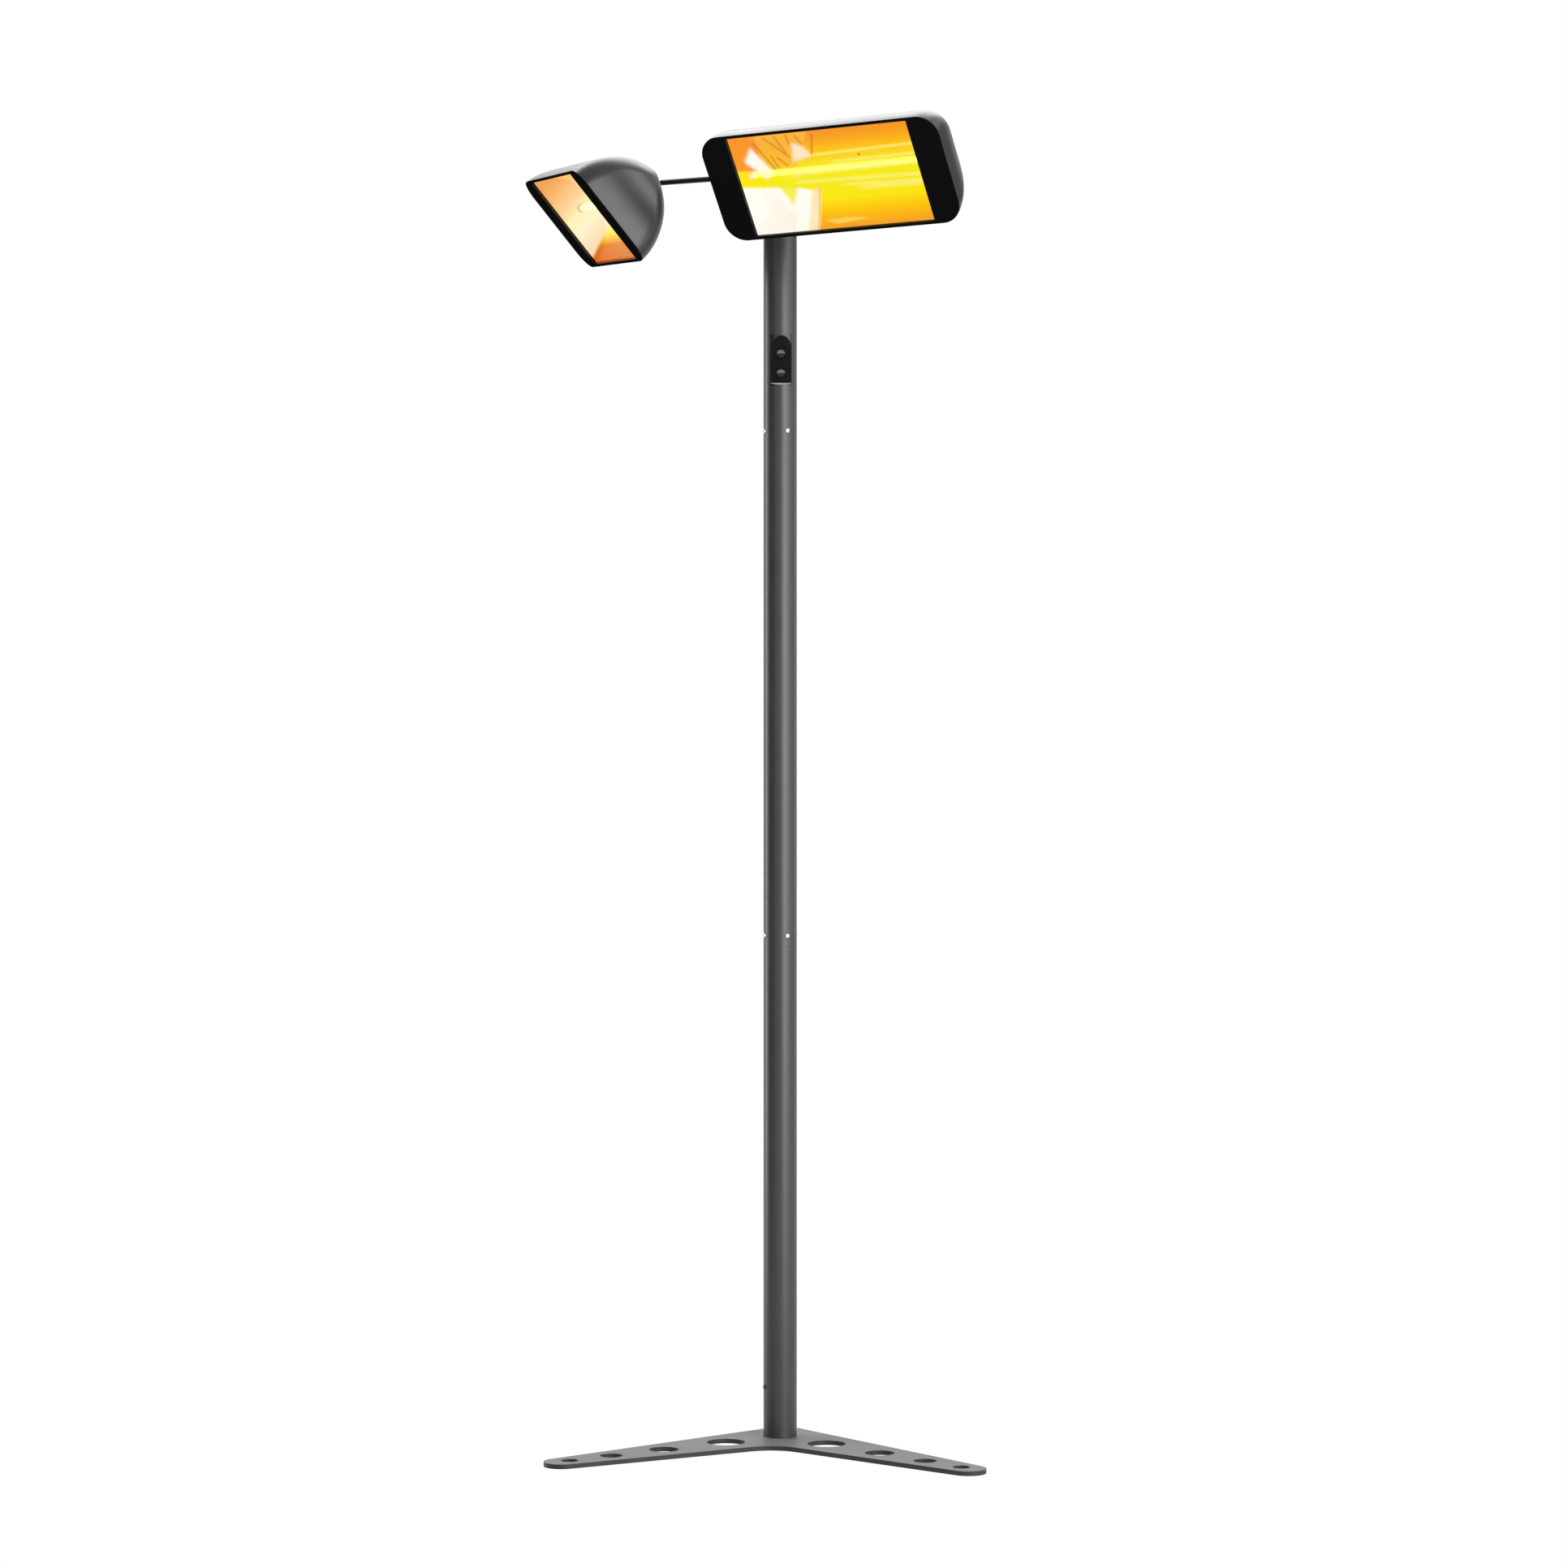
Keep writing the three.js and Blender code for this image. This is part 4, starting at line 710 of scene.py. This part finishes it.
def head_outline(name, y):
    """The head's rounded rectangle, facing forwards and left open for extruding."""
    bpy.ops.mesh.primitive_plane_add(size=1, rotation=(math.radians(90), 0, 0), location=(0, y, 0))
    bpy.context.object.scale = (HEAD_LENGTH, HEAD_HEIGHT, 1)
    piece = settled(name)
    bpy.ops.object.mode_set(mode="EDIT")
    bpy.ops.mesh.select_all(action="SELECT")
    bpy.ops.mesh.bevel(offset=HEAD_CORNER, segments=14, affect="VERTICES")
    bpy.ops.mesh.select_all(action="SELECT")
    return piece


# The outline is drawn back ring by ring. Each ring is moved in at both ends and at top and
# bottom; once it is lower than its own corners, it is squeezed instead.
ring_y, ring_half, ring_end = BEZEL + 0.0003, HEAD_HEIGHT / 2, HEAD_LENGTH / 2
corner_edge = HEAD_CORNER + 0.0002
shell = head_outline("shell", ring_y)
for ring in range(1, SHELL_RINGS + 1):
    sweep = SHELL_SWEEP * ring / SHELL_RINGS
    run = math.sin(sweep) ** (2 / SECTION_POWER)
    y = BEZEL + (HEAD_DEPTH - BEZEL) * run
    half = HEAD_HEIGHT / 2 * math.cos(sweep) ** (2 / SECTION_POWER)
    end = HEAD_LENGTH / 2 - END_DOME * (1 - math.sqrt(1 - run * run))
    bpy.ops.mesh.extrude_region_move(TRANSFORM_OT_translate={"value": (0, y - ring_y, 0)})
    drop = max(half, corner_edge) - max(ring_half, corner_edge)
    for way in (1, -1):
        pick(shell, lambda vert: abs(vert.co.y - y) < 1e-6 and vert.co.x * way > 0, "verts")
        bpy.ops.transform.translate(value=(way * (end - ring_end), 0, 0))
        pick(shell, lambda vert: abs(vert.co.y - y) < 1e-6 and vert.co.z * way > 0, "verts")
        bpy.ops.transform.translate(value=(0, 0, way * drop))
    pick(shell, lambda vert: abs(vert.co.y - y) < 1e-6, "verts")
    if half < corner_edge:
        bpy.ops.transform.resize(value=(1, 1, half / min(ring_half, corner_edge)),
                                 center_override=(0, y, 0))
    ring_y, ring_half, ring_end = y, half, end
pick(shell, lambda face: face.calc_center_median().y < BEZEL + 0.0005)
bpy.ops.mesh.delete(type="FACE")
close_edit()
apply(shell, "SOLIDIFY", thickness=SHELL_WALL, offset=-1)
bpy.ops.object.shade_smooth_by_angle(angle=math.radians(50))
shell_paint = coat("shell_paint", (0.012, 0.015, 0.015), (0.018, 0.021, 0.020), 0.34, 0.40, 0.06,
                   cloud=5, specular=0.42)


def hang(pattern, part, finish, node=None):
    """One copy of a head's piece in each head, on the head's body."""
    for side in ARM_TURN:
        piece = copy_of(pattern, f"{side}_{part}_piece", HEAD_PLACE[side])
        dress(piece, finish[side] if isinstance(finish, dict) else finish)
        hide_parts(f"{side}_{node or part}")
        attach(piece, f"{side}_head")
    bpy.data.objects.remove(pattern, do_unlink=True)


hang(shell, "shell", shell_paint)

# ---- bezels and gaskets ------------------------------------------------------------------
# The black frame round each window is pressed from 3 mm aluminium, dull black, and bolted to
# the shell's rim. A strip of rubber behind it seats the glass.
WINDOW_LENGTH, WINDOW_HEIGHT = 0.344, 0.191
bezel = head_outline("bezel", 0.0)
bpy.ops.mesh.extrude_region_move(TRANSFORM_OT_translate={"value": (0, BEZEL, 0)})
close_edit()
cut(bezel, box("window", (-WINDOW_LENGTH / 2, WINDOW_LENGTH / 2), (-0.01, 0.01),
               (-WINDOW_HEIGHT / 2, WINDOW_HEIGHT / 2)))
ease_edges(bezel, 0.0009, 3)
bezel_black = coat("bezel_black", (0.003, 0.003, 0.0035), (0.005, 0.005, 0.006), 0.25, 0.32, 0.06,
                   specular=0)
hang(bezel, "bezel", bezel_black)
for side in ARM_TURN:
    dress(frame["nodes"][f"{side}_gasket"], rubber)

# ---- window glass ------------------------------------------------------------------------
# A pane of gold-tinted filter glass, 4 mm thick with ground edges, lies behind the bezel.
# It is cut from sheet and tempered.
pane = box("pane", (-0.1733, 0.1733), (0.0046, 0.0086), (-0.0968, 0.0968))
ease_edges(pane, 0.0004, 2)
filter_glass = coat("filter_glass", (1.0, 0.97, 0.90), (1.0, 0.98, 0.93), 0.0, 0.02, 0.0,
                    specular=0.1, Transmission_Weight=1.0, IOR=1.01)
hang(pane, "glass", filter_glass)

# ---- reflectors --------------------------------------------------------------------------
# A trough of polished aluminium sheet behind the glass, bent along the lamp, with a plate at
# each end. Its emission is painted lamp light with painted reflections: orange at its edges and
# yellow along the middle.
TROUGH = [(0.0089, 0.0955), (0.0089, 0.092), (0.0389, 0.080), (0.0649, 0.054), (0.0769, 0.022),
          (0.0709, 0.0)]
TROUGH_EDGE, LAMP_DEPTH = 0.092, 0.050
bpy.ops.mesh.primitive_plane_add(size=1, rotation=(math.radians(90), 0, 0),
                                 location=(0, TROUGH[0][0], (TROUGH[0][1] + TROUGH_EDGE) / 2))
bpy.context.object.scale = (WINDOW_LENGTH, TROUGH[0][1] - TROUGH_EDGE, 1)
trough = settled("trough")
bpy.ops.object.mode_set(mode="EDIT")
bends = TROUGH + [(y, -z) for y, z in TROUGH[-2::-1]]
for (y0, z0), (y1, z1) in zip(bends[1:], bends[2:]):
    pick(trough, lambda edge: all(abs(v.co.z - z0) < 1e-6 and abs(v.co.y - y0) < 1e-6
                                  for v in edge.verts), "edges")
    bpy.ops.mesh.extrude_edges_move(TRANSFORM_OT_translate={"value": (0, y1 - y0, z1 - z0)})
pick(trough, lambda edge: all(abs(v.co.z) < TROUGH_EDGE - 0.001 for v in edge.verts)
     and abs(edge.verts[0].co.x - edge.verts[1].co.x) > 0.1, "edges")
bpy.ops.mesh.bevel(offset=0.011, segments=5, affect="EDGES")
for way in (1, -1):
    pick(trough, lambda vert: vert.co.x * way > 0.17 and abs(vert.co.z) < TROUGH_EDGE + 0.0001, "verts")
    bpy.ops.mesh.edge_face_add()
close_edit()
apply(trough, "SOLIDIFY", thickness=0.001, offset=1)
for way in (1, -1):
    cut(trough, placed(cylinder("cap_hole", 0.0073, -0.02, 0.02, 32),
                       shift(way * WINDOW_LENGTH / 2, LAMP_DEPTH, 0) @ rotate(90, "Y")))
take(trough)
bpy.ops.object.shade_smooth_by_angle(angle=math.radians(35))


class PaintedGlow:
    """The painted lamp light and painted reflections on a head's polished sheet, emitted in layers.
    Its masks lie on a plane (u, v) across the head, in millimetres from the window's centre, and
    shift with the sheet's depth."""

    def __init__(self, side, slope):
        self.made = material(f"{side}_reflector_glow", specular=0.05, Roughness=0.35,
                             Base_Color=(0.03, 0.02, 0.004, 1), Emission_Strength=1.0)
        self.tree = self.made.node_tree
        place, parts = add(self.tree, "ShaderNodeTexCoord"), add(self.tree, "ShaderNodeSeparateXYZ")
        in_head = add(self.tree, "ShaderNodeMapping", Location=HEAD_PLACE[side].to_translation(),
                      Rotation=HEAD_PLACE[side].to_euler(), Scale=(0.001, 0.001, 0.001))
        in_head.vector_type = "TEXTURE"
        connect(self.tree, (place.outputs["Object"], in_head.inputs["Vector"]),
                (in_head.outputs["Vector"], parts.inputs["Vector"]))
        self.u = self.sum((parts.outputs["X"], 1), (parts.outputs["Y"], slope[0]))
        self.v = self.sum((parts.outputs["Z"], 1), (parts.outputs["Y"], slope[1]))

    def node(self, operation, *values):
        made = add(self.tree, "ShaderNodeMath", operation)
        for socket, value in zip(made.inputs, values):
            if isinstance(value, (int, float)):
                socket.default_value = value
            else:
                self.tree.links.new(value, socket)
        return made.outputs[0]

    def sum(self, *terms, plus=0.0):
        total = plus
        for value, weight in terms:
            total = self.node("MULTIPLY_ADD", value, weight, total)
        return total

    def step(self, value, soft):
        """0 to 1 as the value passes 0, over a soft width."""
        made = add(self.tree, "ShaderNodeMapRange", From_Min=-soft / 2, From_Max=soft / 2)
        made.interpolation_type = "SMOOTHSTEP"
        self.tree.links.new(value, made.inputs["Value"])
        return made.outputs["Result"]

    def beside(self, start, end, soft):
        """1 on the left of the line from start to end."""
        along = Vector((end[0] - start[0], end[1] - start[1])).normalized()
        out = (-along.y, along.x)
        return self.step(self.sum((self.u, out[0]), (self.v, out[1]),
                                  plus=-(start[0] * out[0] + start[1] * out[1])), soft)

    def patch(self, soft, *corners):
        """1 inside a patch with straight sides, its corners listed anticlockwise."""
        mask = 1.0
        for start, end in zip(corners, corners[1:] + corners[:1]):
            mask = self.node("MULTIPLY", self.beside(start, end, soft), mask)
        return mask

    def reflection_streak(self, height, width, lean, start):
        """A painted reflection: a bright line along the lamp at a height v, which comes up from its start
        on.
        """
        off = self.node("ABSOLUTE", self.sum((self.v, 1), (self.u, -lean), plus=-height))
        near = self.node("SUBTRACT", 1, self.node("MULTIPLY", off, 1 / width))
        line = self.node("POWER", self.node("MAXIMUM", near, 0), 0.7)
        return self.node("MULTIPLY", line, self.step(self.sum((self.u, 1), plus=-start), 30))

    def crease(self, start, end, width):
        """1 along a thin straight line."""
        along = Vector((end[0] - start[0], end[1] - start[1])).normalized() * width / 2
        out = Vector((-along.y, along.x))
        first, last = Vector(start), Vector(end)
        return self.patch(width, first + out, first - out, last - out, last + out)

    def painted_glint_facets(self, within, scale, stretch, limit, soft):
        """Painted reflections on crumpled foil: 1 on the facets whose own random shade is above the
        limit.
        """
        at, facets = add(self.tree, "ShaderNodeCombineXYZ"), add(self.tree, "ShaderNodeTexVoronoi")
        facets.voronoi_dimensions = "2D"
        facets.inputs["Scale"].default_value = scale
        shade = add(self.tree, "ShaderNodeSeparateColor")
        connect(self.tree, (self.sum((self.u, stretch[0]), (self.v, stretch[1])), at.inputs["X"]),
                (self.sum((self.u, stretch[2]), (self.v, stretch[3])), at.inputs["Y"]),
                (at.outputs["Vector"], facets.inputs["Vector"]),
                (facets.outputs["Color"], shade.inputs["Color"]))
        bright = self.step(self.sum((shade.outputs["Red"], 1), plus=-limit), soft)
        return self.node("MULTIPLY", within, bright)

    def ramp(self, value, *stops):
        made = add(self.tree, "ShaderNodeValToRGB")
        while len(made.color_ramp.elements) < len(stops):
            made.color_ramp.elements.new(0.5)
        for element, (position, colour) in zip(made.color_ramp.elements, stops):
            element.position = position
            element.color = (*colour, 1)
        self.tree.links.new(value, made.inputs["Fac"])
        return made.outputs["Color"]

    def lay(self, colour, mask, strength=1.0):
        """Puts one more colour on the glow, where its mask is 1."""
        if strength < 1:
            mask = self.node("MULTIPLY", mask, strength)
        self.colour = mix(self.tree, mask, self.colour, colour)

    def finish(self):
        self.tree.links.new(self.colour, self.tree.nodes["Principled BSDF"].inputs["Emission Color"])
        return self.made


WINDOW_MM = WINDOW_HEIGHT * 1000
YELLOW, LEMON, PALE = (0.93, 0.78, 0.006), (0.87, 0.84, 0.006), (0.96, 0.87, 0.20)
CREAM, GLARE_WHITE, BROWN = (0.97, 0.86, 0.62), (1.0, 0.985, 0.965), (0.50, 0.14, 0.015)

# The right head faces the camera. All of it is painted lamp light and painted reflections: bands
# along the lamp, dull orange at the left end, the crumpled folds of the end plate above with
# painted shade in their creases, and a burnt-out painted reflection of it below.
right = PaintedGlow("right", (0.446, 0.502))
right.colour = right.ramp(
    right.sum((right.v, 1 / WINDOW_MM), plus=0.5),
    (0.0, (0.80, 0.33, 0.03)), (0.08, (0.93, 0.40, 0.012)), (0.20, (0.95, 0.56, 0.002)),
    (0.32, YELLOW), (0.52, LEMON), (0.70, (0.91, 0.73, 0.015)), (0.80, (0.95, 0.56, 0.01)),
    (0.90, (0.93, 0.38, 0.008)), (1.0, (0.80, 0.26, 0.02)))
for line in ((53, 4, 0.02, -40), (36, 4, 0.01, 10), (20, 6, 0.01, -95), (2, 5, -0.02, -90),
             (-8, 4, -0.03, 20), (-16, 7, -0.01, 50)):
    right.lay(PALE, right.reflection_streak(*line), 0.8)
right.lay(PALE, right.patch(5, (-30, -74), (-12, -83), (52, -77), (20, -72)), 0.45)
right.lay((0.91, 0.45, 0.04), right.node("MULTIPLY", right.beside((-60, 34), (-20, 96), 8),
                                         right.step(right.sum((right.v, 1), plus=-34), 14)), 0.8)
right.lay((0.90, 0.26, 0.02), right.patch(10, (-180, 100), (-180, 20), (-128, 28), (-120, 100)), 0.85)
right.lay(YELLOW, right.patch(6, (-180, 34), (-180, 5), (-95, 5), (-112, 30)), 0.9)
folds = right.patch(8, (-128, 96), (-98, 8), (-62, 20), (-30, 96))
right.lay(CREAM, right.painted_glint_facets(folds, 0.022, (1.0, 0.35, -0.45, 0.5), 0.72, 0.3), 0.45)
# Painted shade along the creases of the crumpled folds.
for start, end in (((-130, 88), (-101, 30)), ((-107, 94), (-68, 51)), ((-85, 94), (-73, 60)),
                   ((-62, 95), (-61, 76)), ((-93, 55), (-76, 36)), ((-104, 59), (-94, 34)),
                   ((-12, 92), (-26, 52)), ((-45, 93), (-38, 74))):
    right.lay(BROWN, right.crease(start, end, 3.6), 0.6)
right.lay((0.98, 0.84, 0.72), right.patch(11, (-57, 79), (-65, 43), (-28, 52), (-36, 70)), 0.85)
right.lay(GLARE_WHITE, right.patch(10, (-138, 77), (-153, 50), (-125, 16), (-106, 24)), 0.95)
right.lay(PALE, right.patch(8, (-98, 26), (-92, 8), (-60, 12), (-74, 24)), 0.8)
# Painted reflection: the end plate's burnt-out glare below it.
painted_glare = right.patch(9, (-185, 8), (-185, -110), (-52, -110), (-29, -9), (-72, -6), (-131, 12))
right.lay(GLARE_WHITE, painted_glare)
right.lay((0.97, 0.80, 0.66),
          right.painted_glint_facets(painted_glare, 0.028, (1.0, 0.2, -0.2, 0.9), 0.6, 0.5), 0.4)
right.lay(LEMON, right.patch(12, (-118, 24), (-87, -40), (-70, -8), (-68, 22)), 0.9)
right.lay((0.95, 0.74, 0.34), right.patch(9, (-70, -96), (-52, -110), (-27, -8), (-44, -14)), 0.7)
right.lay((0.80, 0.34, 0.01), right.crease((-29, -10), (-50, -96), 3), 0.5)
right.lay(BROWN, right.patch(2, (61, 48), (61, 43), (65, 43), (65, 48)), 0.8)

# The left head is seen from its end, in painted lamp light and painted reflections: a pale end
# plate over a deep orange wedge of the trough.
left = PaintedGlow("left", (4.94, 0.545))
left.colour = left.ramp(
    left.sum((left.v, 1 / WINDOW_MM), (left.u, -0.15 / WINDOW_MM), plus=0.5),
    (0.0, (0.93, 0.68, 0.45)), (0.25, (0.95, 0.74, 0.52)), (0.45, (0.97, 0.93, 0.66)),
    (0.58, (0.98, 0.88, 0.52)), (0.70, (0.97, 0.66, 0.33)), (0.90, (0.92, 0.45, 0.14)),
    (1.0, (0.86, 0.37, 0.10)))
wedge = left.ramp(
    left.sum((left.v, 1 / WINDOW_MM), plus=0.5),
    (0.0, (0.60, 0.10, 0.0)), (0.08, (0.68, 0.13, 0.0)), (0.19, (0.72, 0.18, 0.0)),
    (0.24, (0.86, 0.42, 0.01)), (0.30, (0.93, 0.72, 0.08)), (0.40, (0.98, 0.87, 0.32)))
left.lay(wedge, left.beside((183, -16), (-142, -82), 9))
left.lay((0.62, 0.20, 0.03), left.patch(12, (120, -60), (60, -100), (185, -100), (185, -58)), 0.4)
hang(trough, "reflector", {"right": right.finish(), "left": left.finish()})

# ---- lamps -------------------------------------------------------------------------------
# Each head has one linear quartz lamp: a coiled filament in a clear tube that is plugged at
# both ends by ceramic caps, which pass through the trough's end plates.
TUBE_RADIUS, TUBE_WALL, TUBE_HALF = 0.0055, 0.001, 0.165
lamp_tube = cylinder("lamp_tube", TUBE_RADIUS, -TUBE_HALF, TUBE_HALF, 48)
cut(lamp_tube, cylinder("inside", TUBE_RADIUS - TUBE_WALL, -0.17, 0.17, 48))
ease_edges(lamp_tube, 0.0002, 2)
placed(lamp_tube, shift(0, LAMP_DEPTH, 0) @ rotate(90, "Y"))
quartz = {side: coat(f"{side}_quartz", (1.0, 0.95, 0.70), (1.0, 0.97, 0.78), 0.04, 0.10, 0.0,
                     specular=0.1, Transmission_Weight=1.0, IOR=1.01, Emission_Color=(*shine, 1),
                     Emission_Strength=0.3)
          for side, shine in (("right", (1.0, 0.84, 0.12)), ("left", (1.0, 0.88, 0.50)))}
hang(lamp_tube, "lamp_tube", quartz)

WIRE_RADIUS, COIL_RADIUS, COIL_PITCH, COIL_TURNS = 0.0004, 0.0016, 0.0022, 148
bpy.ops.mesh.primitive_circle_add(vertices=6, radius=WIRE_RADIUS, location=(0, COIL_RADIUS, 0),
                                  rotation=(0, math.radians(90), 0))
coil = settled("coil")
apply(coil, "SCREW", axis="X", screw_offset=COIL_PITCH, iterations=COIL_TURNS, steps=10,
      render_steps=10, use_merge_vertices=False)
bpy.ops.object.mode_set(mode="EDIT")
bpy.ops.mesh.select_all(action="SELECT")
bpy.ops.mesh.fill_holes(sides=8)
close_edit()
bpy.ops.object.shade_smooth()
placed(coil, shift(-COIL_PITCH * COIL_TURNS / 2, LAMP_DEPTH, 0))
hot_wire = material("hot_wire", Roughness=0.6, Base_Color=(0.9, 0.6, 0.2, 1), Emission_Strength=1.3)
tree = hot_wire.node_tree
spot, heat = add(tree, "ShaderNodeTexCoord"), add(tree, "ShaderNodeTexNoise", Scale=40)
connect(tree, (spot.outputs["Object"], heat.inputs["Vector"]),
        (mix(tree, heat.outputs["Fac"], (1.0, 0.88, 0.30), (1.0, 0.95, 0.50)),
         tree.nodes["Principled BSDF"].inputs["Emission Color"]))
hang(coil, "coil", hot_wire, "lamp_core")

CAP_RADIUS, CAP_START, CAP_END = 0.007, 0.1653, 0.1913
ceramic = coat("ceramic", (0.78, 0.74, 0.66), (0.86, 0.83, 0.76), 0.5, 0.65, 0.2, grain=1200)
for way, end in ((1, "right_end"), (-1, "left_end")):
    cap = cylinder("cap", CAP_RADIUS, CAP_START, CAP_END, 48)
    weld(cap, cylinder("plug", 0.0042, 0.159, 0.17, 32))
    ease_edges(cap, 0.0005, 2)
    placed(cap, shift(0, LAMP_DEPTH, 0) @ rotate(90 * way, "Y"))
    hang(cap, f"{end}_cap", ceramic, "lamp_core")

# ---- terminal blocks and glands ----------------------------------------------------------
# Inside each shell a ceramic block takes the lamp's leads, and at the back a black nylon gland
# clamps the wall for the cable. The block is fired, and the gland is moulded.
gland_nylon = coat("gland_nylon", (0.016, 0.016, 0.016), (0.028, 0.028, 0.027), 0.4, 0.5, 0.25)
for side in ARM_TURN:
    dress(frame["nodes"][f"{side}_terminal_block"], ceramic)
    gland = worked_copy(f"{side}_cable_gland", f"{side}_gland", 0.0006)
    dress(gland, gland_nylon)
    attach(gland, f"{side}_head")
